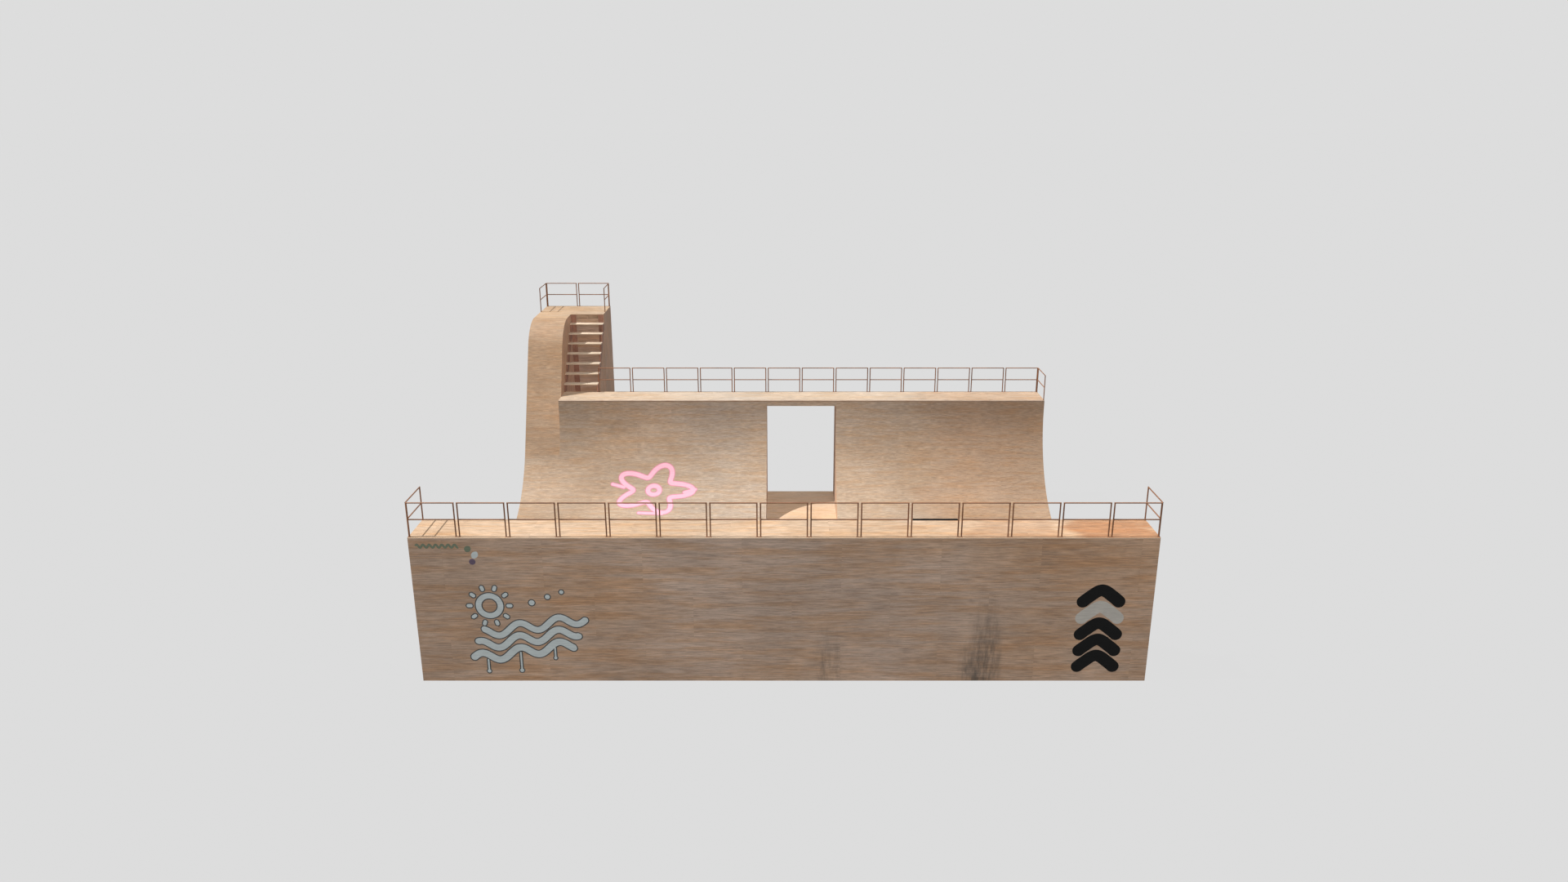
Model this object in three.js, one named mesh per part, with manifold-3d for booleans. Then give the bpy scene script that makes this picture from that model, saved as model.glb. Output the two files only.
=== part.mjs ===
// Half pipe skate ramp: two quarters, a flat, a doorway through the far quarter, and a roll-in tower with stairs.
// Millimetres, +X across the ramp, +Y from the near quarter to the far one, +Z up.
import * as THREE from 'three';
import { mergeVertices } from 'three/addons/utils/BufferGeometryUtils.js';
import Module from 'manifold-3d';

const wasm = await Module();
wasm.setup();

// Driving sizes of the ramp
const panel = 1220; // one guard rail panel, and one plywood sheet's width
const panelsAcross = 15;
const deckDepth = 1220;
const transitionRadius = 3520;
const vertHeight = 326; // the straight wall between the curve and the deck
const flatLength = 4100;

// Driving sizes of the sheets and timbers
const seat = 0.4; // gap that is left where one piece seats on another
const overrun = 10; // of every cutter, past what it cuts
const shoulder = 0.5; // how far a crossing piece stays inside the faces of what it joins
const ply = 18;
const deckPly = 22;
const copingDiameter = 48;
const copingWall = 4;
const sleeperHeight = 38;
const sleeperWidth = 89;
const joistDepth = 89;
const joistWidth = 38;
const ribThickness = 36;
const plateHeight = 38;
const postWidth = 89;
const ribMargin = 150; // timber left round the windows of a rib
const bandDepth = 260; // timber left along the curved edge of a rib
const girtHeight = 1850;
const deckJoistDepth = 140;
const deckJoistWidth = 38;

// Driving sizes of the doorway, in panels and millimetres
const doorwayPanels = 2;
const doorwayCentrePanels = 0.5;
const lintelDepth = 198; // from the deck's top to the doorway's head

// Driving sizes of the roll-in, tower and stairs
const rollInPanels = 1;
const stairPanels = 1;
const rollInLean = THREE.MathUtils.degToRad(24.7); // of the straight slope, from upright
const crownRadius = 1340;
const riser = 306.25;
const riserCount = 8;
const going = 290;
const treadDepth = 285;
const treadThickness = 40;
const noseOverhang = 20;
const stairInset = 110; // of the first tread's nose, in front of the deck's rear edge
const stringerThickness = 45;
const stringerThroat = 200;
const towerDeckDepth = 1680;
const towerPostWidth = 190;
const frontWallRecess = 25;

// Driving sizes of the guard rails
const railHeight = 900;
const midRailHeight = 455;
const railTube = 32;
const postTube = 34;
const postPairPitch = 88;
const railInset = 50; // of a long rail's middle, from the deck's edge
const sideRailInset = 20;
const basePlateDepth = 40;
const basePlateThickness = 8;
const basePlateMargin = 14; // past the posts that stand on it

// Counts
const lowerFacets = 14;
const upperFacets = 5;
const crownFacets = 8;
const windowFacets = 3;
const quarterPosts = 3;
const rollInPosts = 5;
const nearBays = 8;
const farBays = 3;
const rollInBays = 2;
const firstJoistFacet = 3;
const sleeperBays = 12;
const tunnelBattens = 5;
const copingFacets = 16;

// Places that follow from the driving sizes
const width = panelsAcross * panel;
const leftEdge = -width / 2;
const rightEdge = width / 2;
const floorTop = sleeperHeight + 2 * (ply + seat);
const curveRise = floorTop + transitionRadius; // height of the curve's centre
const deckTop = curveRise + vertHeight;
const underDeck = deckTop - deckPly - seat;
const underDeckFrame = underDeck - deckJoistDepth - seat;
const underCoping = deckTop - copingDiameter - seat;
const behindCoping = deckDepth - copingDiameter - seat;
const toe = deckDepth + transitionRadius; // from a quarter's back to the flat
const length = 2 * toe + flatLength;
const skinBack = ply + seat;
const underlayBack = skinBack + ply;
const joistBack = underlayBack + joistDepth;
const ribFace = joistBack + seat;
const rollInRight = leftEdge + rollInPanels * panel;
const towerRight = rollInRight + stairPanels * panel;
const doorwayLeft = (doorwayCentrePanels - doorwayPanels / 2) * panel;
const doorwayRight = (doorwayCentrePanels + doorwayPanels / 2) * panel;
const doorwayTop = deckTop - lintelDepth;
const towerTop = deckTop + riserCount * riser;
const underTowerDeck = towerTop - deckPly - seat;
const towerFront = stairInset - (riserCount - 1) * going; // from the far quarter's back, negative is behind it
const towerBack = towerFront - towerDeckDepth;
const fullLength = length - towerBack;
const seamAngle = Math.PI / 2 - rollInLean;

// Materials
const finish = (color, roughness, metalness = 0) =>
  new THREE.MeshStandardMaterial({ color, roughness, metalness });
const ridingPly = finish(0xc9a582, 0.55);
const wallPly = finish(0xb08f70, 0.7);
const deckPlyFinish = finish(0xe3bd92, 0.6);
const framingTimber = finish(0xd8b98c, 0.8);
const stairTimber = finish(0xe6c8a0, 0.6);
const stringerPaint = finish(0x6e3f28, 0.55);
const railPaint = finish(0x9a6c52, 0.45, 0.4);
const copingSteel = finish(0x8d8f92, 0.35, 0.9);

// Lists of evenly spaced values, both ends included
function steps(from, to, count) {
  return Array.from({ length: count + 1 }, (_, i) => from + ((to - from) * i) / count);
}

const transitionAngles = [
  ...steps(0, seamAngle, lowerFacets),
  ...steps(seamAngle, Math.PI / 2, upperFacets).slice(1),
];
const facetCount = transitionAngles.length - 1;

// Section points are [distance in from the quarter's back, height]; a side turns the distance into Y
const near = (distance) => distance;
const far = (distance) => length - distance;

// A section shape drawn out along X: its own x and y become the ramp's Y and Z
function drawnAlongX(shape, x0, x1, facets) {
  const options = { depth: x1 - x0, bevelEnabled: false, curveSegments: facets };
  const geometry = new THREE.ExtrudeGeometry(shape, options);
  const place = geometry.attributes.position;
  for (let i = 0; i < place.count; i++) {
    place.setXYZ(i, place.getZ(i) > 0 ? x1 : x0, place.getX(i), place.getY(i));
  }
  geometry.computeVertexNormals();
  return geometry;
}

// A prism along X from a section outline
function prism(side, outline, x0, x1) {
  return drawnAlongX(new THREE.Shape(outline.map(([d, z]) => new THREE.Vector2(side(d), z))), x0, x1);
}

// A squared timber or sheet between two corners
function block(side, [x0, x1], [d0, d1], [z0, z1]) {
  return prism(side, [[d0, z0], [d1, z0], [d1, z1], [d0, z1]], x0, x1);
}

// A level sheet from its plan outline
function sheet(plan, thickness, bottom) {
  const shape = new THREE.Shape(plan.map((p) => new THREE.Vector2(...p)));
  return new THREE.ExtrudeGeometry(shape, { depth: thickness, bevelEnabled: false }).translate(0, 0, bottom);
}

// A timber or tube let into those it crosses, so that each of its faces lies a shoulder inside theirs
function letIn(side, xs, ds, zs, shoulders = 1) {
  const inside = ([a, b]) => [a + shoulders * shoulder, b - shoulders * shoulder];
  return block(side, inside(xs), inside(ds), inside(zs));
}

// A geometry as a solid for joining and cutting, and a solid back as a geometry
function toSolid(geometry) {
  const bare = geometry.clone();
  bare.deleteAttribute('normal');
  bare.deleteAttribute('uv');
  const merged = mergeVertices(bare);
  const vertProperties = merged.attributes.position.array;
  const triVerts = new Uint32Array(merged.index.array);
  return new wasm.Manifold(new wasm.Mesh({ numProp: 3, vertProperties, triVerts }));
}

function toGeometry(solid) {
  const mesh = solid.getMesh();
  const geometry = new THREE.BufferGeometry();
  geometry.setAttribute('position', new THREE.BufferAttribute(new Float32Array(mesh.vertProperties), 3));
  geometry.setIndex(new THREE.BufferAttribute(new Uint32Array(mesh.triVerts), 1));
  geometry.computeVertexNormals();
  return geometry;
}

// Timbers nailed or tubes welded into one piece
function join(geometries) {
  return toGeometry(wasm.Manifold.union(geometries.map(toSolid)));
}

function cut(geometry, cutters) {
  return toGeometry(toSolid(geometry).subtract(wasm.Manifold.union(cutters.map(toSolid))));
}

function piece(group, name, geometry, material) {
  const mesh = new THREE.Mesh(geometry, material);
  mesh.name = name;
  group.add(mesh);
}

// A point on the curve, moved out of the ride by an offset; angle 0 is the toe, a quarter turn is upright
function curvePoint(offset, angle) {
  const reach = transitionRadius + offset;
  return [toe - reach * Math.sin(angle), curveRise - reach * Math.cos(angle)];
}

function curve(offset, angles) {
  return angles.map((angle) => curvePoint(offset, angle));
}

// The sheet between two facets of the curve, with the vert above it when it has a top
function skinOutline(firstFacet, lastFacet, top) {
  const angles = transitionAngles.slice(firstFacet, lastFacet + 1);
  angles[0] += seat / transitionRadius;
  const face = curve(0, angles);
  const back = curve(ply, angles);
  if (top !== undefined) {
    face.push([deckDepth, top]);
    back.push([deckDepth - ply, top]);
  }
  return [...face, ...back.reverse()];
}

const courses = {
  lower: skinOutline(0, lowerFacets),
  upper: skinOutline(lowerFacets, facetCount, underCoping),
};

// The flat's frame runs under the first facet of the curve, and what carries the curve starts past it
const heelAngles = transitionAngles.slice(1);
const heel = curvePoint(skinBack, heelAngles[0])[0];

// The first layer of plywood with the joists that stiffen it, one to each facet of the curve
function joistOutline() {
  const face = [...curve(skinBack, heelAngles), [deckDepth - skinBack, underCoping]];
  const back = [curvePoint(underlayBack, heelAngles[0])];
  for (let i = 1; i < facetCount; i++) {
    if (i >= firstJoistFacet) back.push(...joistCorners(i));
    back.push(curvePoint(underlayBack, transitionAngles[i + 1]));
  }
  back.push([deckDepth - underlayBack, underCoping]);
  return [...face, ...back.reverse()];
}

function joistCorners(facet) {
  const [a, b] = [transitionAngles[facet], transitionAngles[facet + 1]].map(
    (angle) => new THREE.Vector2(...curvePoint(underlayBack, angle)),
  );
  const along = b.clone().sub(a).normalize();
  const out = new THREE.Vector2(along.y, -along.x);
  const middle = a.clone().add(b).divideScalar(2);
  if (out.dot(new THREE.Vector2(toe, curveRise).sub(middle)) > 0) out.negate();
  const corner = (s, t) =>
    middle.clone().addScaledVector(along, (s * joistWidth) / 2).addScaledVector(out, t).toArray();
  return [corner(-1, 0), corner(-1, joistDepth), corner(1, joistDepth), corner(1, 0)];
}

// Where the curved edge of a rib leaves the ground plate
const ribStart = Math.acos((curveRise - plateHeight) / (transitionRadius + ribFace));

function ribOutline() {
  const angles = [ribStart, ...transitionAngles.filter((angle) => angle > ribStart)];
  const edge = curve(ribFace, angles);
  const lip = deckDepth - ribFace;
  return [
    [skinBack, 0],
    [edge[0][0], 0],
    ...edge,
    [lip, underDeckFrame],
    [skinBack, underDeckFrame],
  ];
}

// The height of an outline's falling edge over a distance
function heightOver(edge, distance) {
  const passed = edge.filter(([d]) => d > distance).length;
  const i = THREE.MathUtils.clamp(passed, 1, edge.length - 1);
  const [[d0, z0], [d1, z1]] = [edge[i - 1], edge[i]];
  return z0 + ((z1 - z0) * (distance - d0)) / (d1 - d0);
}

// Windows between upright posts, each bay parted by a girt where it is tall
function windowsUnder(edge, posts) {
  return posts.slice(1).flatMap((post, i) => {
    const [from, to] = [posts[i] + postWidth, post];
    const spots = steps(from, to, windowFacets);
    const head = spots.map((d) => [d, heightOver(edge, d)]).reverse();
    const low = head[0][1];
    if (low < girtHeight + postWidth) return [[[from, ribMargin], [to, ribMargin], ...head]];
    const sill = (z) => [[from, z], [to, z]];
    return [
      [...sill(ribMargin), ...sill(girtHeight).reverse()],
      [...sill(girtHeight + postWidth), ...head],
    ];
  });
}

// Ribs on long plates, as one prefabricated frame
function ribbedFrame(side, [x0, x1], bays, outline, windows, plates) {
  const ribs = steps(x0, x1 - ribThickness, bays).map((x) => prism(side, outline, x, x + ribThickness));
  const cutters = windows.map((window) => prism(side, window, x0 - overrun, x1 + overrun));
  const timbers = plates.map(([d, z]) => letIn(side, [x0, x1], [d, d + postWidth], [z, z + plateHeight]));
  return join([cut(join(ribs), cutters), ...timbers]);
}

function quarterFrame(side, ends, bays) {
  const lip = deckDepth - ribFace;
  const head = underDeckFrame - ribMargin;
  const angleAt = (z) => Math.acos((curveRise - z) / (transitionRadius + ribFace + bandDepth));
  const band = curve(ribFace + bandDepth, steps(angleAt(ribMargin), Math.PI / 2, facetCount));
  const windows = [
    ...windowsUnder([[lip, head], [0, head]], [skinBack, lip - postWidth]),
    ...windowsUnder(band, steps(lip - postWidth, band[0][0] - postWidth, quarterPosts)),
  ];
  const toeEdge = curvePoint(ribFace, ribStart)[0];
  const plates = [
    [skinBack, 0],
    [lip - postWidth, 0],
    [toeEdge - 2 * postWidth, 0],
    [skinBack, underDeckFrame - plateHeight],
    [lip - postWidth, underDeckFrame - plateHeight],
  ];
  return ribbedFrame(side, ends, bays, ribOutline(), windows, plates);
}

// Rim boards and cross joists under a deck
function deckFrame(side, x0, x1, bays) {
  const heights = [underDeck - deckJoistDepth, underDeck - seat];
  const front = behindCoping;
  const rim = (d) => block(side, [x0, x1], [d, d + deckJoistWidth], heights);
  const joists = steps(x0, x1 - deckJoistWidth, bays).map((x) =>
    letIn(side, [x, x + deckJoistWidth], [skinBack, front], heights),
  );
  return join([rim(skinBack), rim(front - deckJoistWidth), ...joists]);
}

// A steel pipe set flush into the lip, along X
function coping(side, x0, x1) {
  const middle = new THREE.Vector2(side(deckDepth - copingDiameter / 2), deckTop - copingDiameter / 2);
  const shape = new THREE.Shape().absarc(...middle, copingDiameter / 2, 0, 2 * Math.PI);
  shape.holes.push(new THREE.Path().absarc(...middle, copingDiameter / 2 - copingWall, 0, 2 * Math.PI));
  return drawnAlongX(shape, x0, x1, copingFacets);
}

// The plywood end of a quarter, tucked behind the riding sheet and under the deck
function endOutline() {
  return [
    [skinBack, 0],
    [heel, 0],
    ...curve(skinBack, heelAngles),
    [deckDepth - skinBack, underCoping],
    [behindCoping, underCoping],
    [behindCoping, underDeck],
    [skinBack, underDeck],
  ];
}

// The tunnel's side stops under the deck frame that crosses over it
function tunnelOutline() {
  return endOutline().map(([d, z]) => [d, Math.min(z, underDeckFrame)]);
}

// The roll-in's path from an angle on the curve, up the straight slope and over the crown
const slopeLength =
  (towerTop - crownRadius * (1 - Math.sin(rollInLean)) - curvePoint(0, seamAngle)[1]) / Math.cos(rollInLean);
const crownCentre =
  curvePoint(0, seamAngle)[0] - slopeLength * Math.sin(rollInLean) - crownRadius * Math.cos(rollInLean);

function rollInPath(offset, angles) {
  const crown = steps(rollInLean, Math.PI / 2, crownFacets).map((angle) => [
    crownCentre + (crownRadius - offset) * Math.cos(angle),
    towerTop - crownRadius + (crownRadius - offset) * Math.sin(angle),
  ]);
  return [...curve(offset, angles), ...crown];
}

const seamOnly = [seamAngle];
const anglesToSeam = transitionAngles.slice(0, lowerFacets + 1);

function rollInSkin() {
  const lift = ([d, z]) => [d - seat * Math.sin(rollInLean), z + seat * Math.cos(rollInLean)];
  const face = rollInPath(0, seamOnly);
  const back = rollInPath(ply, seamOnly);
  face[0] = lift(face[0]);
  back[0] = lift(back[0]);
  return [...face, ...back.reverse()];
}

// The outer side: the whole far quarter's end with the tower's end behind it
function outerSideOutline() {
  return [
    [heel, 0],
    ...rollInPath(skinBack, anglesToSeam.slice(1)),
    [crownCentre, underTowerDeck],
    [towerBack + skinBack, underTowerDeck],
    [towerBack + skinBack, 0],
  ];
}

// The inner side faces the stairs, and starts at the seam and behind the far quarter
function innerSideOutline() {
  const path = rollInPath(skinBack, seamOnly);
  return [
    [-seat, path[0][1]],
    ...path,
    [crownCentre, underTowerDeck],
    [towerBack + skinBack, underTowerDeck],
    [towerBack + skinBack, 0],
    [-seat, 0],
  ];
}

// The roll-in's ribs follow its whole path from the ground plate to the tower's deck
function rollInFrame(ends) {
  const face = rollInPath(skinBack, anglesToSeam.slice(1));
  const rear = towerBack + skinBack;
  const top = underTowerDeck - seat;
  const outline = [[rear, 0], [face[0][0], 0], ...face, [crownCentre, top], [rear, top]];
  const bandStart = Math.acos((curveRise - ribMargin) / (transitionRadius + skinBack + bandDepth));
  const band = rollInPath(skinBack + bandDepth, [bandStart, ...anglesToSeam.filter((a) => a > bandStart)]);
  const head = [rear, band.at(-1)[1]];
  const posts = steps(rear, band[0][0] - postWidth, rollInPosts);
  const windows = windowsUnder([...band, head], posts);
  const plates = posts.slice(0, -1).flatMap((d) => [[d, 0], [d, Math.min(girtHeight, heightOver(band, d))]]);
  return ribbedFrame(far, ends, rollInBays, outline, windows, [...plates, [rear, top - plateHeight]]);
}

// The tower's posts, girts and deck joists beside the roll-in
function towerFrame(x0, x1) {
  const back = towerBack + skinBack;
  const frontFace = towerFront - seat;
  const heights = (z, height) => [z, z + height];
  const postTop = underTowerDeck - seat;
  const post = (x, wide, d) => block(far, [x, x + wide], [d, d + postWidth], [0, postTop]);
  const rail = (d, z, height) => letIn(far, [x0, x1], [d, d + plateHeight], heights(z, height));
  const tie = (x, z, height) => letIn(far, [x, x + plateHeight], [back, frontFace], heights(z, height), 2);
  const levels = [
    [0, plateHeight],
    [postTop / 3, postWidth],
    [(2 * postTop) / 3, postWidth],
    [postTop - deckJoistDepth, deckJoistDepth],
  ];
  return join([
    post(x0, towerPostWidth, frontFace - postWidth),
    post(x1 - towerPostWidth, towerPostWidth, frontFace - postWidth),
    post(x0, postWidth, back),
    post(x1 - postWidth, postWidth, back),
    ...levels.flatMap(([z, height]) => [
      rail(back, z, height),
      rail(frontFace - postWidth, z, height),
      tie(x0, z, height),
      tie(x1 - plateHeight, z, height),
    ]),
    tie((x0 + x1) / 2, postTop - deckJoistDepth, deckJoistDepth),
  ]);
}

// Stairs: distances run back from the first nose, heights run up from the lower deck
const stairFrom = (distance) => length - stairInset + distance;
const stairRun = (riserCount - 1) * going;
const pitchSlope = riser / going;
const stringerUnder = (s) => (s - noseOverhang) * pitchSlope - treadThickness - seat - stringerThroat;
const stringerHeel = noseOverhang + (treadThickness + 2 * seat + stringerThroat) / pitchSlope;

function stringerOutline() {
  const teeth = [];
  for (let i = 1; i < riserCount; i++) {
    const seatHeight = i * riser - treadThickness - seat;
    const from = (i - 1) * going + noseOverhang;
    const to = Math.min(from + going, stairRun - seat);
    teeth.push([from, seatHeight], [to, seatHeight]);
  }
  const end = stairRun - seat;
  return [[noseOverhang, seat], ...teeth, [end, stringerUnder(end)], [stringerHeel, seat]].map(
    ([s, z]) => [s, deckTop + z],
  );
}

// The tower's right wall runs up under the stringer to the tower's deck
function towerWallOutline() {
  const wallEnd = stairInset + seat;
  const underStringer = Math.max(stringerHeel, wallEnd);
  return [
    [wallEnd, 0],
    [wallEnd, deckTop],
    [underStringer, deckTop + Math.min(stringerUnder(underStringer), 0)],
    [stairRun, deckTop + stringerUnder(stairRun) - seat],
    [stairRun, underTowerDeck],
    [stairRun + towerDeckDepth - skinBack, underTowerDeck],
    [stairRun + towerDeckDepth - skinBack, 0],
  ];
}

// A run of guard rail along X from its foot: a frame to each panel, with base plates that neighbours share
const jointInset = (postPairPitch - postTube) / 2;

function railRun(runLength, count, endInset) {
  const depth = [-postTube / 2, postTube / 2];
  const plateDepth = [-basePlateDepth / 2, basePlateDepth / 2];
  const post = (x) => block(near, [x, x + postTube], depth, [shoulder, railHeight - railTube / 2]);
  const plate = (x0, x1) => block(near, [x0, x1], plateDepth, [0, basePlateThickness]);
  const joints = steps(0, runLength, count);
  const frames = joints.slice(1).flatMap((joint, i) => {
    const from = joints[i] + (i === 0 ? endInset : jointInset);
    const to = joint - (i === count - 1 ? endInset : jointInset);
    const rail = (top) => letIn(near, [from, to], depth, [top - railTube, top]);
    return [post(from), post(to - postTube), rail(railHeight), rail(midRailHeight + railTube / 2)];
  });
  const jointReach = jointInset + postTube + basePlateMargin;
  const endReach = endInset + postTube + basePlateMargin;
  const sharedPlates = joints.slice(1, -1).map((joint) => plate(joint - jointReach, joint + jointReach));
  return join([...frames, ...sharedPlates, plate(0, endReach), plate(runLength - endReach, runLength)]);
}

const acrossRun = (x, y, z, runLength, count) => railRun(runLength, count, jointInset).translate(x, y, z);
const endRun = (x, y, z, runLength) => railRun(runLength, 1, 0).rotateZ(Math.PI / 2).translate(x, y, z);

// Assemblies
const ramp = new THREE.Group();
ramp.position.y = -fullLength / 2;

function addFlat() {
  const group = new THREE.Group();
  const frameSpan = [heel + seat, length - heel - seat];
  const besideTunnel = [heel + seat, length - toe - seat];
  const rim = (y, xs) => letIn(near, xs, [y, y + sleeperWidth], [0, sleeperHeight]);
  const sleepers = steps(leftEdge, rightEdge - sleeperWidth, sleeperBays).map((x) => {
    const besideDoorway = x + sleeperWidth > doorwayLeft - seat && x < doorwayRight + seat;
    return block(near, [x, x + sleeperWidth], besideDoorway ? besideTunnel : frameSpan, [0, sleeperHeight]);
  });
  const wholeWidth = [leftEdge, rightEdge];
  piece(group, 'flat_sleepers', join([
    rim(frameSpan[0], wholeWidth),
    rim((frameSpan[0] + frameSpan[1]) / 2, wholeWidth),
    rim(besideTunnel[1] - sleeperWidth, wholeWidth),
    ...sleepers,
  ]), framingTimber);
  const underlay = [
    [leftEdge, frameSpan[0]],
    [rightEdge, frameSpan[0]],
    [rightEdge, frameSpan[1]],
    [doorwayRight, frameSpan[1]],
    [doorwayRight, besideTunnel[1]],
    [doorwayLeft, besideTunnel[1]],
    [doorwayLeft, frameSpan[1]],
    [leftEdge, frameSpan[1]],
  ];
  piece(group, 'flat_underlay', sheet(underlay, ply, sleeperHeight + seat), framingTimber);
  const surface = block(near, wholeWidth, [toe + seat, length - toe - seat], [floorTop - ply, floorTop]);
  piece(group, 'flat_surface', surface, ridingPly);
  ramp.add(group);
}

function addNearQuarter() {
  const group = new THREE.Group();
  const inside = [leftEdge + ply + seat, rightEdge - ply - seat];
  for (const [course, outline] of Object.entries(courses)) {
    piece(group, `near_skin_${course}`, prism(near, outline, leftEdge, rightEdge), ridingPly);
  }
  piece(group, 'near_joists', prism(near, joistOutline(), ...inside), framingTimber);
  piece(group, 'near_frame', quarterFrame(near, inside, nearBays), framingTimber);
  const wall = block(near, [leftEdge, rightEdge], [0, ply], [0, underDeck]);
  piece(group, 'near_back_wall', wall, wallPly);
  piece(group, 'near_left_side', prism(near, endOutline(), leftEdge, leftEdge + ply), wallPly);
  piece(group, 'near_right_side', prism(near, endOutline(), rightEdge - ply, rightEdge), wallPly);
  piece(group, 'near_deck_frame', deckFrame(near, ...inside, panelsAcross), framingTimber);
  const deck = block(near, [leftEdge, rightEdge], [0, behindCoping], [deckTop - deckPly, deckTop]);
  piece(group, 'near_deck', deck, deckPlyFinish);
  piece(group, 'near_coping', coping(near, leftEdge, rightEdge), copingSteel);
  ramp.add(group);
}

function addFarQuarter() {
  const group = new THREE.Group();
  const doorwayEnds = [doorwayLeft, doorwayRight];
  for (const [course, outline] of Object.entries(courses)) {
    const left = course === 'upper' ? rollInRight : leftEdge;
    piece(group, `far_left_skin_${course}`, prism(far, outline, left, doorwayEnds[0]), ridingPly);
    piece(group, `far_right_skin_${course}`, prism(far, outline, doorwayEnds[1], rightEdge), ridingPly);
  }
  const leftInside = [rollInRight + ply + seat, doorwayLeft - ply - seat];
  const rightInside = [doorwayRight + ply + seat, rightEdge - ply - seat];
  piece(group, 'far_joists_left', prism(far, joistOutline(), ...leftInside), framingTimber);
  piece(group, 'far_joists_right', prism(far, joistOutline(), ...rightInside), framingTimber);
  piece(group, 'far_frame_left', quarterFrame(far, leftInside, farBays), framingTimber);
  piece(group, 'far_frame_right', quarterFrame(far, rightInside, farBays), framingTimber);
  const wall = (x0, x1) => block(far, [x0, x1], [0, ply], [0, underDeck]);
  piece(group, 'far_back_wall_left', wall(rollInRight, doorwayLeft), wallPly);
  piece(group, 'far_back_wall_right', wall(doorwayRight, rightEdge), wallPly);
  piece(group, 'far_left_end', prism(far, endOutline(), rollInRight, rollInRight + ply), wallPly);
  piece(group, 'far_right_side', prism(far, endOutline(), rightEdge - ply, rightEdge), wallPly);
  const tunnelWall = (x) => prism(far, tunnelOutline(), x, x + ply);
  piece(group, 'tunnel_left_wall', tunnelWall(doorwayLeft - ply), wallPly);
  piece(group, 'tunnel_right_wall', tunnelWall(doorwayRight), wallPly);
  const lintel = block(
    far,
    [doorwayLeft + seat, doorwayRight - seat],
    [deckDepth - underlayBack, deckDepth],
    [doorwayTop, underCoping],
  );
  piece(group, 'tunnel_lintel', lintel, ridingPly);
  piece(group, 'tunnel_floor', tunnelFloor(), ridingPly);
  const frameBays = panelsAcross - rollInPanels;
  const frameEnds = [rollInRight + ply + seat, rightEdge - ply - seat];
  piece(group, 'far_deck_frame', deckFrame(far, ...frameEnds, frameBays), framingTimber);
  const deck = block(far, [rollInRight, rightEdge], [0, behindCoping], [deckTop - deckPly, deckTop]);
  piece(group, 'far_deck', deck, deckPlyFinish);
  piece(group, 'far_coping', coping(far, rollInRight, rightEdge), copingSteel);
  ramp.add(group);
}

// The doorway's floor: boards on battens that run with the passage, level with the flat
function tunnelFloor() {
  const x0 = doorwayLeft + seat;
  const x1 = doorwayRight - seat;
  const battens = steps(x0, x1 - sleeperWidth, tunnelBattens - 1).map((x) =>
    letIn(far, [x, x + sleeperWidth], [0, toe], [-shoulder, floorTop - ply]),
  );
  return join([block(far, [x0, x1], [0, toe], [sleeperHeight, floorTop]), ...battens]);
}

function addRollIn() {
  const group = new THREE.Group();
  const innerSide = rollInRight - seat - ply;
  piece(group, 'roll_in_skin', prism(far, rollInSkin(), leftEdge, rollInRight - seat), ridingPly);
  piece(group, 'roll_in_left_side', prism(far, outerSideOutline(), leftEdge, leftEdge + ply), wallPly);
  piece(group, 'roll_in_right_side', prism(far, innerSideOutline(), innerSide, innerSide + ply), wallPly);
  piece(group, 'roll_in_frame', rollInFrame([leftEdge + ply + seat, innerSide - seat]), framingTimber);
  ramp.add(group);
}

function addTower() {
  const group = new THREE.Group();
  const wallInside = towerRight - ply;
  piece(group, 'tower_frame', towerFrame(rollInRight + seat, wallInside - seat), stringerPaint);
  const wall = prism(stairFrom, towerWallOutline(), wallInside, towerRight);
  piece(group, 'tower_right_wall', wall, wallPly);
  const rearWall = block(far, [leftEdge, towerRight], [towerBack, towerBack + ply], [0, underTowerDeck]);
  piece(group, 'tower_rear_wall', rearWall, wallPly);
  const frontX = [rollInRight + towerPostWidth + 2 * seat, wallInside - towerPostWidth - 2 * seat];
  const frontWall = block(
    far,
    frontX,
    [towerFront - frontWallRecess - ply, towerFront - frontWallRecess],
    [plateHeight + seat, underTowerDeck - deckJoistDepth - 2 * seat],
  );
  piece(group, 'tower_front_wall', frontWall, wallPly);
  const plan = [
    [leftEdge, far(crownCentre) + seat],
    [rollInRight, far(crownCentre) + seat],
    [rollInRight, far(towerFront)],
    [towerRight, far(towerFront)],
    [towerRight, far(towerBack)],
    [leftEdge, far(towerBack)],
  ];
  piece(group, 'tower_deck', sheet(plan, deckPly, towerTop - deckPly), deckPlyFinish);
  ramp.add(group);
}

function addStairs() {
  const group = new THREE.Group();
  const left = rollInRight + seat;
  const stringer = (x) => prism(stairFrom, stringerOutline(), x, x + stringerThickness);
  piece(group, 'stair_left_stringer', stringer(left), stringerPaint);
  piece(group, 'stair_right_stringer', stringer(towerRight - stringerThickness), stringerPaint);
  for (let i = 1; i < riserCount; i++) {
    const nose = (i - 1) * going;
    const top = deckTop + i * riser;
    const back = Math.min(nose + treadDepth, stairRun - seat);
    const tread = block(stairFrom, [left, towerRight], [nose, back], [top - treadThickness, top]);
    piece(group, `stair_tread_${i}`, tread, stairTimber);
  }
  ramp.add(group);
}

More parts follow.
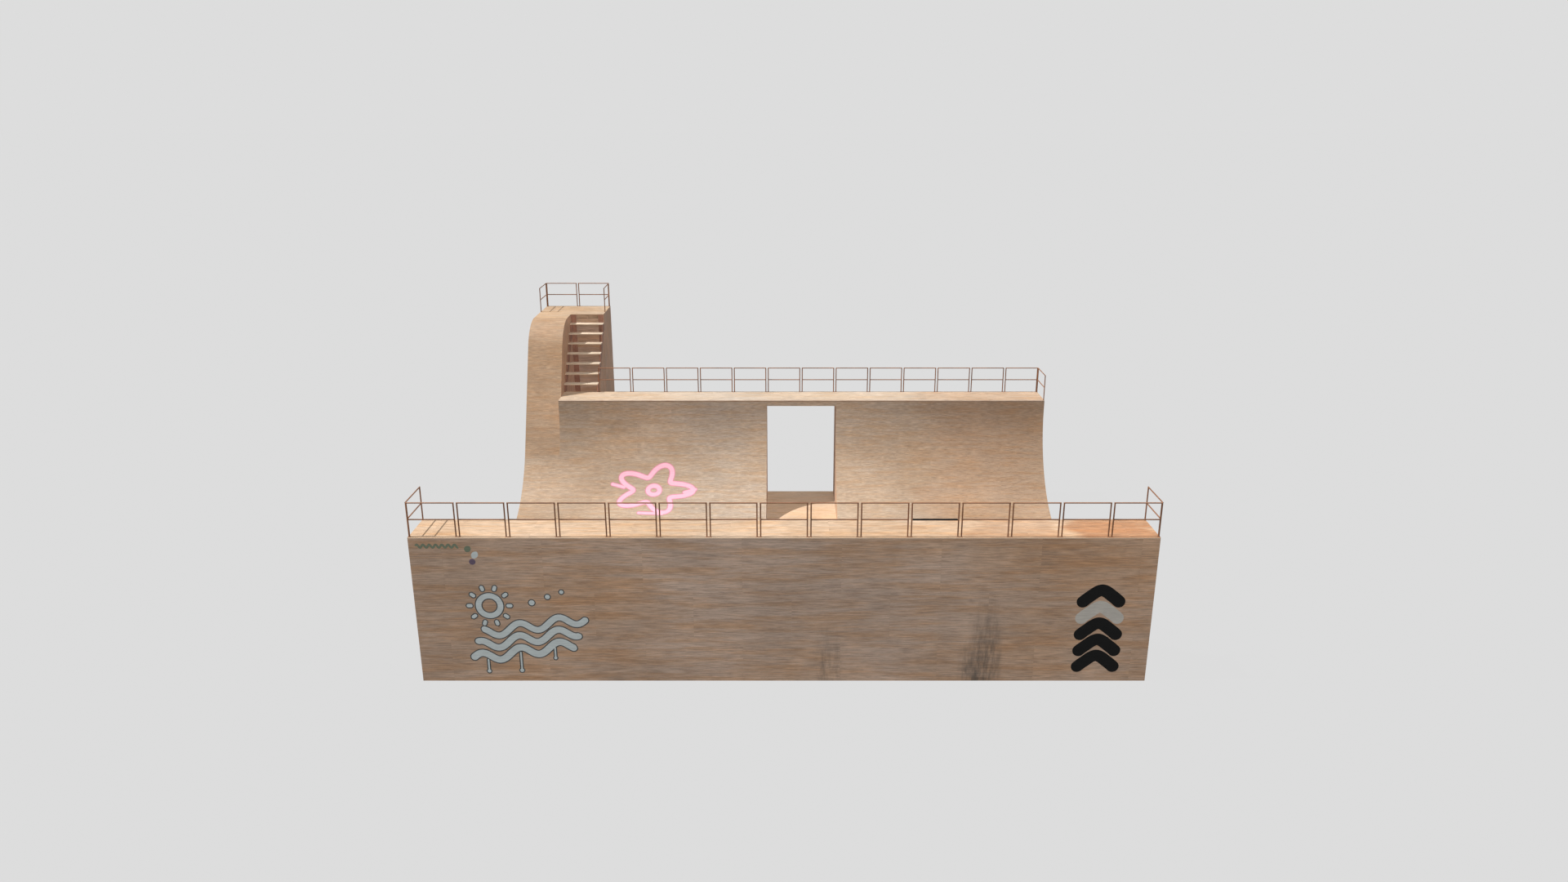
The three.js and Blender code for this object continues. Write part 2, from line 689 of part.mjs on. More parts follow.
function addRails() {
  const group = new THREE.Group();
  const foot = deckTop + seat;
  const corner = railInset + basePlateDepth / 2 + seat; // end rails start clear of the long ones
  const endLength = behindCoping - corner;
  const leftRun = Math.ceil(panelsAcross / 2);
  const nearRun = (first, count) =>
    acrossRun(leftEdge + first * panel, railInset, foot, count * panel, count);
  piece(group, 'near_rail_left', nearRun(0, leftRun), railPaint);
  piece(group, 'near_rail_right', nearRun(leftRun, panelsAcross - leftRun), railPaint);
  const leftLine = leftEdge + sideRailInset;
  const rightLine = rightEdge - sideRailInset;
  piece(group, 'near_left_end_rail', endRun(leftLine, corner, foot, endLength), railPaint);
  piece(group, 'near_right_end_rail', endRun(rightLine, corner, foot, endLength), railPaint);
  const farPanels = panelsAcross - rollInPanels - stairPanels;
  const farLeftRun = Math.ceil(farPanels / 2);
  const farRun = (first, count) =>
    acrossRun(towerRight + first * panel, length - railInset, foot, count * panel, count);
  piece(group, 'far_rail_left', farRun(0, farLeftRun), railPaint);
  piece(group, 'far_rail_right', farRun(farLeftRun, farPanels - farLeftRun), railPaint);
  const farEnd = endRun(rightLine, length - behindCoping, foot, endLength);
  piece(group, 'far_right_end_rail', farEnd, railPaint);
  const towerPanels = rollInPanels + stairPanels;
  const towerFoot = towerTop + seat;
  const rearLine = fullLength - railInset;
  const sideLength = panel - corner;
  const sideRun = (x) => endRun(x, fullLength - panel, towerFoot, sideLength);
  const rearRun = acrossRun(leftEdge, rearLine, towerFoot, towerPanels * panel, towerPanels);
  piece(group, 'tower_rear_rail', rearRun, railPaint);
  piece(group, 'tower_left_rail', sideRun(leftLine), railPaint);
  piece(group, 'tower_right_rail', sideRun(towerRight - sideRailInset), railPaint);
  ramp.add(group);
}

addFlat();
addNearQuarter();
addFarQuarter();
addRollIn();
addTower();
addStairs();
addRails();

export default ramp;
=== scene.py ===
"""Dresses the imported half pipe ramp: plywood sheets, tube rails, boards, steel, paint, light and camera."""

import math

import bmesh
import bpy
import numpy as np
from bpy.props import FloatProperty, FloatVectorProperty, IntProperty, PointerProperty
from mathutils import Euler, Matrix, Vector


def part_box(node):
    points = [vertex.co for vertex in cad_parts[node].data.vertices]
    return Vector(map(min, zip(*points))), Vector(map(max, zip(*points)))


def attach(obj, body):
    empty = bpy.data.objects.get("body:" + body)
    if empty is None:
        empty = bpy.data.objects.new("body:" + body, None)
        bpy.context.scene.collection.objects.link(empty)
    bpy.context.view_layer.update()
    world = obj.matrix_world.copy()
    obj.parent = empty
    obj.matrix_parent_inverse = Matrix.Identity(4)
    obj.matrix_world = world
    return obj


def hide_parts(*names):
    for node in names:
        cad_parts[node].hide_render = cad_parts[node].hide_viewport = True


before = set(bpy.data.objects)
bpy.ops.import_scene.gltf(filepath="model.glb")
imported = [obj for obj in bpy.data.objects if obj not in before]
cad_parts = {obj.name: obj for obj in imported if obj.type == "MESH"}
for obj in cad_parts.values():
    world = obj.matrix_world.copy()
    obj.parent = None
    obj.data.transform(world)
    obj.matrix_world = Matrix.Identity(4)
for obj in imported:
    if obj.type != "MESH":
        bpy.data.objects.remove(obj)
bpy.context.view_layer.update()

bl_info = {
    "name": "Half Pipe Ramp Looks",
    "version": (1, 0, 0),
    "blender": (4, 5, 0),
    "location": "View3D > Sidebar > Ramp",
    "description": "Builds the visible sheets, rails, boards and finishes of a plywood half pipe ramp",
    "category": "Object",
}

# Where the ramp stands, read from the frame, in metres
LEFT, NEAR_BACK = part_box("near_deck")[0].x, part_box("near_deck")[0].y
RIGHT, DECK_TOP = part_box("near_deck")[1].x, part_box("near_deck")[1].z
FAR_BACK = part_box("far_deck")[1].y
FLOOR_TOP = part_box("flat_surface")[1].z
NEAR_TOE, FAR_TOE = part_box("flat_surface")[0].y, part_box("flat_surface")[1].y
NEAR_LIP, COPING_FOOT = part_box("near_coping")[1].y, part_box("near_coping")[0].z
LANE_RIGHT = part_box("far_deck")[0].x
DOOR_LEFT, DOOR_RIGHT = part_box("far_left_skin_lower")[1].x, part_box("far_right_skin_lower")[0].x
TOWER_RIGHT, TOWER_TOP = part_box("tower_deck")[1].x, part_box("tower_deck")[1].z
CROWN_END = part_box("tower_deck")[0].y
RAIL_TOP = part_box("near_rail_left")[1].z
# Undersides of the decks, where the walls end
DECK_FOOT, TOWER_DECK_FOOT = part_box("near_back_wall")[1].z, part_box("tower_right_wall")[1].z
# Thickness of a sheet of plywood
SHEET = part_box("near_back_wall")[1].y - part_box("near_back_wall")[0].y

# The curve, and the gap that a sheet keeps to what it meets
RADIUS = 3.52
SEAT = 0.0004
LIP_DEPTH = NEAR_LIP - NEAR_BACK
TOE_DEPTH = LIP_DEPTH + RADIUS
CURVE_RISE = FLOOR_TOP + RADIUS
ARC_LENGTH = RADIUS * math.pi / 2
CURVE_LENGTH = ARC_LENGTH + (COPING_FOOT - SEAT - CURVE_RISE)
# How far behind the lip an end wall steps down to pass under the coping
COPING_STEP = 0.0484

# The roll-in leans back from upright, and leaves the curve where the curve leans as much
LEAN = math.radians(24.7)
CROWN_RADIUS = 1.34
CROWN_ARC = CROWN_RADIUS * (math.pi / 2 - LEAN)
CROWN_RISE = CROWN_RADIUS * (1 - math.sin(LEAN))
SEAM = RADIUS * (math.pi / 2 - LEAN)
SLOPE = (TOWER_TOP - CROWN_RISE - CURVE_RISE + RADIUS * math.sin(LEAN)) / math.cos(LEAN)
LANE_LENGTH = SEAM + SLOPE + CROWN_ARC

# Sheets
SHEET_LENGTH, SHEET_WIDTH = 2.44, 1.22
SLIVER = 0.3  # a narrower strip stays on the sheet beside it
ROW_STEP = 0.06  # from point to point along a curve, at most
STEP_HALF = 0.0002  # half the length over which the top edge of an end wall steps down

# Screws
SCREW_INSET = 0.022  # from a sheet's long edge
SCREW_START = 0.03  # from the first end of a row
SCREW_ROWS = 0.4  # from row to row, about
SCREW_SUNK, SCREW_PROUD = 0.002, 0.0004
SCREW_SIDES, STUB_SHARE = 6, 0.7

# Where courses of riding sheets meet, by the distance from the toe. The lane's sheets start at the last of
# the curve's foot joints, with two narrower courses.
FIRST_COURSE = 1.443
FOOT_JOINTS = 4
LANE_JOINTS = (4.86, 5.78)
CURVE_COURSES = (0.0, *(FIRST_COURSE + course * SHEET_WIDTH for course in range(4)), CURVE_LENGTH)
LANE_START = CURVE_COURSES[FOOT_JOINTS - 1]
UPPER_LANE_COURSES = tuple(LANE_JOINTS[1] + course * SHEET_WIDTH for course in range(3))
LANE_COURSES = (LANE_START, LANE_JOINTS[0], *UPPER_LANE_COURSES, LANE_LENGTH)
FLAT_COURSES = tuple(course * SHEET_WIDTH for course in range(4))
# How far the joints of each surface are moved along
FLAT_STAGGER = 1.1
FAR_RIGHT_STAGGER, FAR_LEFT_STAGGER, OVER_LANE_STAGGER = 0.9, 0.6, 0.3
DECK_STAGGER, WALL_STAGGER = 0.5, 0.8

# Boards, timbers and treads
PANEL_EASE, TIMBER_EASE, BEARER_EASE = 0.0015, 0.003, 0.002
BEARER_WIDTH, BEARER_SPACING = 0.089, 0.6
TOWER_POST = 0.19
TREADS = 7
NOSE, NOSE_POINTS = 0.012, 7
TREAD_END_SHARES = np.array([0.985, 0.9])  # what a tread's depth and height shrink to at its ends
LANE_POINTS = 400  # along the top edge of the lane's left side

# Meshes: points nearer than this are merged, flatter edges are taken out, and sharper ones are bevelled
MERGE_REACH, FLAT_ANGLE, SHARP_ANGLE = 1e-5, math.radians(1), math.radians(40)
# Angles in degrees up to which most pieces, treads and screws are shaded smooth
SMOOTH, TREAD_SMOOTH, SCREW_SMOOTH = 35.0, 50.0, 60.0
UPRIGHT = 0.9  # the least rise of an axis of length 1 that counts as upright

# Coping tubes
COPING_WALL = 0.004
COPING_LIMIT = 6.1  # the longest length of tube
COPING_BEAD = 0.0012  # chamfer and gap at a weld
COPING_SIDES = 40

# Guard rails
RAIL_MIDDLE = 0.455  # height of the middle tube over the deck
TUBE_CHAMFER = 0.0015
JOINT_INSET = 0.027  # from a joint of two frames to the posts
POST_GAP = 0.004  # from a post's end up to the top tube's middle
BEAD_OVERLAP = 0.001  # how far a weld bead reaches into its post
PLATE_THICKNESS, PLATE_EASE = 0.008, 0.0015
PLATE_MARGIN = 0.014  # how far a base plate reaches past a post
END_BOLT = 0.012  # from a run's end to its bolt
# Weld beads, as heights and how far they stand out; washer and bolt head, as heights and radii
FOOT_BEAD = ((0.0, 0.005), (0.002, 0.004), (0.006, 0.0))
WELD_BEAD = ((0.0, 0.004), (0.002, 0.0035), (0.005, 0.0))
WASHER, WASHER_SIDES = ((0.0, 0.0095), (0.0016, 0.0095)), 16
BOLT_HEAD, BOLT_SIDES = ((0.0016, 0.0068), (0.0060, 0.0068), (0.0066, 0.0060)), 6
# The foam sleeve on one rail, whose panels are as long as a sheet is wide
SLEEVE_PANELS = (2.5, 3.5)  # the ends of its panel, in panels right of the ramp's middle
SLEEVE_RADIUS, SLEEVE_ROUND, SLEEVE_SIDES = 0.024, 0.003, 24
SLEEVE_GAP, SLEEVE_BORE_GAP = 0.006, 0.0005  # to the posts, and round the rail
# Each run of guard rail: its node, the way it runs, and its number of frames
RAIL_RUNS = (
    ("near_rail_left", (1, 0, 0), 8),
    ("near_rail_right", (1, 0, 0), 7),
    ("near_left_end_rail", (0, 1, 0), 1),
    ("near_right_end_rail", (0, 1, 0), 1),
    ("far_rail_left", (1, 0, 0), 7),
    ("far_rail_right", (1, 0, 0), 6),
    ("far_right_end_rail", (0, 1, 0), 1),
    ("tower_rear_rail", (1, 0, 0), 2),
    ("tower_left_rail", (0, 1, 0), 1),
    ("tower_right_rail", (0, 1, 0), 1),
)

# Paint marks: places across and up the wall, or across and along the curve from its toe
FLOWER = np.array([-4.55, 2.6])
FLOWER_REACH, FLOWER_HEART = np.array([1.05, 0.74]), np.array([0.2, 0.17])
PETALS, PETAL_SHARE = 5, 0.32
DASHES = (((-1.5, 0.25), (-1.0, 0.1)), ((1.02, -0.1), (1.5, 0.05)), ((-0.5, -0.95), (0.4, -1.0)))
SUN_DISC = np.array([-7.3, 2.1])
SUN_RADIUS = 0.27
RAYS, RAY_SHARES = 10, (1.55, 2.1)
# Each wave: half its width and its left end
WAVES = ((0.09, -7.85), (0.085, -7.72), (0.08, -7.55))
WAVE_FOOT, WAVE_PITCH = 0.62, 0.36  # the lowest wave's height, and from one wave up to the next
WAVE_LENGTH, WAVE_RISE, WAVE_SWELL = 2.65, 0.42, 0.13
WAVE_ANGLE, WAVE_SHIFT = 17, 0.9  # what a wave swings through, and its lead on the one below, in radians
# Each drip: its place across, its top, its length and its bead's half width
DRIPS = ((-7.45, 0.62, 0.34, 0.045), (-6.62, 0.82, 0.52, 0.05), (-5.75, 0.95, 0.3, 0.04))
# Each spot: its place across and up, and its radius
SPOTS = (((-6.25, 2.18), 0.07), ((-5.85, 2.34), 0.06), ((-5.5, 2.47), 0.05))
# Each dab: its place across, its height and its half width; and how far its ends lie from that place
DABS = ((-7.72, 3.62, 0.09), (-7.56, 3.46, 0.11), (-7.63, 3.28, 0.08))
DAB_ENDS = ((-0.06, 0.05), (0.07, -0.04))
SQUIGGLE_LEFT, SQUIGGLE_HEIGHT = -8.98, 3.70
SQUIGGLE_LENGTH, SQUIGGLE_SWELL = 1.05, 0.04
SQUIGGLE_ANGLE = 43  # what it swings through, in radians
CHEVRONS, PALE_CHEVRON = 5, 3
CHEVRON_PITCH = 0.45
CHEVRON_FOOT, CHEVRON_REACH = np.array([7.85, 0.3]), np.array([0.56, 0.42])
CHEVRON_SHARES = np.array([(-1.0, 0.0), (-0.55, 0.55), (0.0, 1.0), (0.55, 0.55), (1.0, 0.0)])
# Half the width of each kind of stroke
FLOWER_HALF, DASH_HALF = 0.075, 0.05
SUN_HALF, RAY_HALF, DRIP_HALF = 0.07, 0.045, 0.02
SQUIGGLE_HALF, CHEVRON_HALF = 0.028, 0.16
OUTLINE = 0.028  # how far an outline shows round its stroke
# How far the paint stands off the wood, and how far one stroke stands off the one before it
UNDERSIDE, OUTLINE_LIFT, FILL_LIFT, CHEVRON_LIFT = -0.0001, 0.0006, 0.0011, 0.0008
STROKE_STEP, DAB_STEP = 0.00002, 0.0001
RING_POINTS, WAVE_POINTS = 240, 260
LEAST_POINTS, PATH_STEP = 24, 0.01  # the fewest points of a path, and the step between them
END_LIMIT = 0.98  # how near a stroke's round end comes to no width

# The stage
FLOOR_HALF = 400.0
FLOOR_REFLECTANCE = 0.16
FLOOR_GLOW, FLOOR_GLOW_SHARE = 0.736, 0.97  # as the camera sees the floor
BACKDROP, SKY_STRENGTH = 0.723, 0.12  # the sky as the camera sees it, and as a light
CAMERA_LENS, CAMERA_SENSOR = 24.93, 36.0  # in millimetres
CAMERA_LIMIT = 2000.0
CAMERA_PLACE = (0.0, -32.983, 14.198)
CAMERA_PITCH = 17.754  # degrees down from level
# Each light: its name, the way towards it, its strength, its breadth in degrees, and whether it casts shadows
LIGHTS = (
    ("sun", (-0.70, -0.03, 1.0), 4.05, 0.8, True),
    ("top_fill", (0.0, 0.0, 1.0), 1.05, 40.0, False),
    ("front_fill", (0.2, -1.0, 0.35), 0.8, 40.0, False),
    ("rear_fill", (0.6, 1.0, 0.35), 0.65, 40.0, False),
    ("left_fill", (-1.0, 0.0, 0.1), 0.5, 40.0, False),
)

chance = np.random.default_rng(20)


def near(depth):
    """The Y of a point that lies depth in from the near quarter's back."""
    return NEAR_BACK + depth


def far(depth):
    """The Y of a point that lies depth in from the far quarter's back."""
    return FAR_BACK - depth


def length_property(name, description, default):
    """A length that a user can change, in metres."""
    return FloatProperty(name=name, description=description, default=default, unit="LENGTH")


def colour_property(name, description, default):
    """A colour that a user can change, as linear reflectances."""
    return FloatVectorProperty(
        name=name, description=description, default=default, subtype="COLOR", size=3, min=0.0, max=1.0
    )


class RampSizes(bpy.types.PropertyGroup):
    """Sizes of the sheets, rails and fixings."""

    sheet_length: length_property("Sheet length", "Length of a plywood sheet along its grain", SHEET_LENGTH)
    sheet_width: length_property("Sheet width", "Width of a plywood sheet across its grain", SHEET_WIDTH)
    course_gap: length_property("Course gap", "Gap between two courses of sheets", 0.002)
    butt_gap: length_property("Butt gap", "Gap between two sheets of one course", 0.0006)
    ease: length_property("Eased edge", "Chamfer along the edges of a sheet", 0.0008)
    screw_spacing: length_property("Screw spacing", "Distance between two screws of a row", 0.305)
    screw_radius: length_property("Screw radius", "Radius of a countersunk screw head", 0.0045)
    rail_radius: length_property("Rail radius", "Radius of the guard rails' tube", 0.016)
    post_radius: length_property("Post radius", "Radius of the guard rails' posts", 0.017)
    tube_sides: IntProperty(name="Tube sides", description="Sides of a round tube", default=20, min=8, max=48)


class RampFinishes(bpy.types.PropertyGroup):
    """Colours of the ramp's finishes."""

    riding_ply: colour_property("Riding plywood", "Sanded curves and flat", (0.418, 0.295, 0.195))
    wall_ply: colour_property("Wall plywood", "Bare walls and ends", (0.533, 0.372, 0.264))
    deck_ply: colour_property("Deck plywood", "Bleached decks", (0.54, 0.382, 0.25))
    framing: colour_property("Framing timber", "Sawn softwood of the frames", (0.45, 0.33, 0.24))
    tread: colour_property("Stair tread", "Pale boards of the stairs", (0.68, 0.58, 0.47))
    brown_paint: colour_property("Brown paint", "Stringers and the tower's posts", (0.335, 0.165, 0.11))
    rail_paint: colour_property("Rail paint", "Paint of the guard rails", (0.255, 0.113, 0.054))
    steel: colour_property("Steel", "Worn steel of the copings", (0.36, 0.27, 0.205))
    pink_spray: colour_property("Pink spray paint", "Mark on the far curve", (0.93, 0.44, 0.54))
    grey_spray: colour_property("Grey spray paint", "Marks on the near wall", (0.62, 0.68, 0.68))


def sizes():
    """The ramp's sizes, as they are set in the scene."""
    return bpy.context.scene.ramp_sizes


def finishes():
    """The ramp's colours, as they are set in the scene."""
    return bpy.context.scene.ramp_finishes


# Meshes


class Pile:
    """Closed shells gathered for one mesh, each with points, faces, material indices, grain and tone."""

    def __init__(self):
        self.points, self.grain, self.tones, self.faces, self.indices, self.count = [], [], [], [], [], 0

    def add(self, points, faces, grain=None, indices=None, tone=0.5):
        """Adds one shell; faces holds groups of like faces, and indices the material of each group."""
        points = np.asarray(points, float).reshape(-1, 3)
        self.tones.append(np.full(len(points), tone))
        self.points.append(points)
        self.grain.append(points if grain is None else np.asarray(grain, float).reshape(-1, 3))
        for index, group in enumerate(faces):
            self.faces.extend((np.asarray(group) + self.count).tolist())
            self.indices.extend(np.broadcast_to(indices[index] if indices else 0, len(group)).tolist())
        self.count += len(points)

    def build(self, name, slot, finish_names, nodes=(), smooth=SMOOTH):
        """Makes the piece with its finishes, riding on the root body, and has it stand for the nodes."""
        mesh = bpy.data.meshes.new(name)
        mesh.from_pydata(np.concatenate(self.points).tolist(), [], self.faces)
        for finish_name in finish_names:
            mesh.materials.append(material(finish_name))
        mesh.polygons.foreach_set("material_index", np.array(self.indices, np.int32))
        grain = mesh.attributes.new("grain", "FLOAT_VECTOR", "POINT")
        grain.data.foreach_set("vector", np.concatenate(self.grain).astype(np.float32).ravel())
        tone = mesh.attributes.new("tone", "FLOAT", "POINT")
        tone.data.foreach_set("value", np.concatenate(self.tones).astype(np.float32))
        mesh.shade_smooth()
        mesh.set_sharp_from_angle(angle=math.radians(smooth))
        mesh.update()
        piece = bpy.data.objects.new(name, mesh)
        bpy.context.scene.collection.objects.link(piece)
        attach(piece, "root")
        dress(piece, slot, *nodes)


def dress(piece, slot, *nodes):
    """Hides the CAD nodes that a piece stands for; slot is not used."""
    if nodes:
        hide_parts(*nodes)


def grid_faces(rows, columns):
    """Quads between the points of a rows by columns grid, each row closed on itself."""
    index = np.arange(rows * columns).reshape(rows, columns)
    following = np.roll(index, -1, axis=1)
    quads = np.stack([index[:-1], following[:-1], following[1:], index[1:]], axis=-1)
    return quads.reshape(-1, 4)


def end_caps(rows, columns):
    """The faces that close the first and the last row of a grid whose rows are rings."""
    return np.stack([np.arange(columns)[::-1], np.arange(columns) + columns * (rows - 1)])


def unit(vectors):
    """The vectors at length 1."""
    return vectors / np.linalg.norm(vectors, axis=-1, keepdims=True)


def ring_ways(axes, sides):
    """For each axis, unit vectors square to it and evenly spread round it, one for each side."""
    upright = np.abs(axes[:, 2:]) >= UPRIGHT
    one = unit(np.cross(axes, np.where(upright, [[1.0, 0.0, 0.0]], [[0.0, 0.0, 1.0]])))
    two = np.cross(axes, one)
    angle = np.arange(sides) * 2 * math.pi / sides
    return np.cos(angle)[:, None] * one[:, None] + np.sin(angle)[:, None] * two[:, None]


def add_board(pile, start, across, inward, thickness, ease, along, tone=0.5):
    """Adds a closed sheet: row i starts at start[i], spans across[i] and goes thickness deep along inward[i].

    Each row holds the six corners of a rectangle with two eased front arrises. The fronts of the first and
    last rows are set back by the ease, so the ends are eased too. The grain runs along across, and along[i]
    is the place across the grain.
    """
    start, across, inward, along = (np.asarray(values, float) for values in (start, across, inward, along))
    last = len(start) - 1
    steps = [np.linalg.norm(start[1] - start[0]), np.linalg.norm(start[last] - start[last - 1])]
    shares = [ease / max(length, 2 * ease) for length in steps]

    def with_ends(values):
        """The rows with one more row just inside each end."""
        first = values[0] + (values[1] - values[0]) * shares[0]
        final = values[last] + (values[last - 1] - values[last]) * shares[1]
        return np.concatenate([values[:1], [first], values[1:last], [final], values[last:]])

    start, across, inward, along = (with_ends(values) for values in (start, across, inward, along))
    width = np.linalg.norm(across, axis=1)
    zero, deep, eased = np.zeros_like(width), np.full_like(width, thickness), np.full_like(width, ease)
    aside = np.stack([eased, width - ease, width, width, zero, zero], axis=1)
    depth = np.stack([zero, zero, eased, deep, deep, eased], axis=1)
    depth[[0, -1], :2] = ease
    way = unit(across)
    points = start[:, None] + aside[..., None] * way[:, None] + depth[..., None] * inward[:, None]
    rows, corners = len(points), aside.shape[1]
    quads, caps = grid_faces(rows, corners), end_caps(rows, corners)
    if np.dot(np.cross(way[0], unit(start[1] - start[0])), -inward[0]) < 0:
        quads, caps = quads[:, ::-1], caps[:, ::-1]
    run = points[..., int(np.argmax(np.abs(way[0])))]
    place = np.broadcast_to(along[:, None], run.shape)
    # the edges of the sheet take the second material
    edge = np.tile([0, 0, 1, 1, 1, 0], rows - 1)
    pile.add(points, [quads, caps], np.stack([run, place, depth], axis=-1), [edge, np.array([1, 1])], tone)


def add_turned(pile, base, axis, profile, sides, closed=False):
    """Adds a turned shape: each (height, radius) of the profile is a ring round the axis from base."""
    base, axis, profile = np.asarray(base, float), unit(np.asarray(axis, float)), np.asarray(profile, float)
    ring = ring_ways(axis[None], sides)[0]
    points = base + profile[:, :1, None] * axis + profile[:, 1:, None] * ring[None]
    rows = len(profile)
    if closed:
        faces = [grid_faces(rows + 1, sides) % (rows * sides)]
    else:
        faces = [grid_faces(rows, sides), end_caps(rows, sides)]
    angle = np.arange(sides) * 2 * math.pi / sides
    height, radius = profile[:, :1], profile[:, 1:]
    grain = np.stack(np.broadcast_arrays(height, angle[None] * radius, radius), axis=-1)
    pile.add(points, faces, grain + base)


def add_tube(pile, start, end, radius, sides):
    """Adds a straight tube with chamfered, closed ends."""
    start, end = np.asarray(start, float), np.asarray(end, float)
    length = np.linalg.norm(end - start)
    inner = radius - TUBE_CHAMFER
    profile = [(0, inner), (TUBE_CHAMFER, radius), (length - TUBE_CHAMFER, radius), (length, inner)]
    add_turned(pile, start, end - start, profile, sides)


def add_sleeve(pile, start, length, radius, bore, rounding, sides):
    """Adds a pipe along X with an open bore: one closed loop of six rings, with its outer ends chamfered."""
    loop = [
        (0, bore), (0, radius - rounding), (rounding, radius), (length - rounding, radius),
        (length, radius - rounding), (length, bore),
    ]
    add_turned(pile, start, (1, 0, 0), loop, sides, closed=True)


def add_screws(pile, places, normals, radius):
    """Adds a countersunk screw head at each place: a low cone, with its foot sunk in the wood."""
    normals = unit(normals)
    ring = ring_ways(normals, SCREW_SIDES)
    rings = ((-SCREW_SUNK, STUB_SHARE * radius), (SCREW_PROUD, radius))
    points = np.stack(
        [places[:, None] + height * normals[:, None] + reach * ring for height, reach in rings], axis=1
    )
    quads, caps = grid_faces(len(rings), SCREW_SIDES), end_caps(len(rings), SCREW_SIDES)
    shift = (np.arange(len(places)) * len(rings) * SCREW_SIDES)[:, None, None]
    pile.add(points, [(quads + shift).reshape(-1, 4), (caps + shift).reshape(-1, SCREW_SIDES)])


# Sections: each gives the depth, height and inward direction of points along a path


def curve_section(distance):
    """The riding face from the toe: a quarter circle, then the upright part, by the distance along it."""
    distance = np.asarray(distance, float)
    angle = np.minimum(distance / RADIUS, math.pi / 2)
    rise = np.maximum(distance - ARC_LENGTH, 0.0)
    depth = TOE_DEPTH - RADIUS * np.sin(angle)
    height = CURVE_RISE - RADIUS * np.cos(angle) + rise
    return depth, height, -np.sin(angle), -np.cos(angle)


def lane_section(distance):
    """The roll-in's face: the curve up to the seam, a straight slope, and the crown's arc to the deck."""
    distance = np.asarray(distance, float)
    depth, height, in_depth, in_height = curve_section(np.minimum(distance, SEAM))
    slope = np.clip(distance - SEAM, 0.0, SLOPE)
    angle = LEAN + np.clip((distance - SEAM - SLOPE) / CROWN_RADIUS, 0.0, math.pi / 2 - LEAN)
    past = distance > SEAM
    turn_depth = CROWN_RADIUS * (np.cos(angle) - math.cos(LEAN))
    turn_height = CROWN_RADIUS * (np.sin(angle) - math.sin(LEAN))
    depth = depth - slope * math.sin(LEAN) + turn_depth
    height = height + slope * math.cos(LEAN) + turn_height
    return depth, height, np.where(past, -np.cos(angle), in_depth), np.where(past, -np.sin(angle), in_height)


def face_points(section, side, distance, x):
    """Positions and outward normals at distances along a section and places x across it."""
    depth, height, in_depth, in_height = section(distance)
    way = side(1.0) - side(0.0)
    place = np.stack(np.broadcast_arrays(x, side(depth), height), axis=-1)
    normal = np.stack(np.broadcast_arrays(0.0 * depth, -way * in_depth, -in_height), axis=-1)
    return place, np.broadcast_to(normal, place.shape)


# Sheets


class ScrewHeads:
    """Screws that the sheets' operators gather for one piece."""

    places, normals = [], []

    @classmethod
    def keep(cls, places, normals):
        """Keeps the places of some screws and the ways that their heads face."""
        cls.places.append(places.reshape(-1, 3))
        cls.normals.append(np.broadcast_to(normals, places.shape).reshape(-1, 3))


def split(first, last, sheet, offset):
    """Cuts first..last into sheets of one length, with joints moved along by offset and slivers joined on."""
    joints = np.arange(first - sheet + offset % sheet, last + sheet, sheet)
    joints = joints[(joints > first + SLIVER) & (joints < last - SLIVER)]
    return list(zip([first, *joints], [*joints, last]))


def trimmed(ends, whole, gap):
    """The two ends of a sheet, each drawn in by half a gap where it isn't an end of the whole."""
    low = ends[0] + (gap / 2 if ends[0] > whole[0] else 0.0)
    high = ends[1] - (gap / 2 if ends[1] < whole[1] else 0.0)
    return low, high


def add_course(pile, section, side, x_ends, ends, offset):
    """Adds one course of riding sheets between two distances along a section, and keeps its screws."""
    size = sizes()
    low, high = ends[0] + size.course_gap / 2, ends[1] - size.course_gap / 2
    rows = max(2, 1 + math.ceil((high - low) / ROW_STEP))
    distance = np.linspace(low, high, rows)
    depth, height, in_depth, in_height = section(distance)
    way = side(1.0) - side(0.0)
    inward = np.stack([np.zeros(rows), way * in_depth, in_height], axis=1)
    for sheet_ends in split(*x_ends, size.sheet_length, offset):
        left, right = trimmed(sheet_ends, x_ends, size.butt_gap)
        start = np.stack([np.full(rows, left), side(depth), height], axis=1)
        across = np.tile([right - left, 0.0, 0.0], (rows, 1))
        add_board(pile, start, across, inward, SHEET, size.ease, distance, chance.uniform())
    x = np.arange(x_ends[0] + SCREW_START, x_ends[1], size.screw_spacing)
    lines = np.array([low + SCREW_INSET, (2 * low + high) / 3, (low + 2 * high) / 3, high - SCREW_INSET])
    ScrewHeads.keep(*face_points(section, side, lines[:, None], x[None, :]))


def add_curve(pile, section, side, x_ends, courses, offset=0.0):
    """Adds the courses of riding sheets up a section, every other one staggered by half a sheet."""
    for index, ends in enumerate(zip(courses[:-1], courses[1:])):
        stagger = offset + (sizes().sheet_length / 2 if index % 2 else 0.0)
        add_course(pile, section, side, x_ends, ends, stagger)


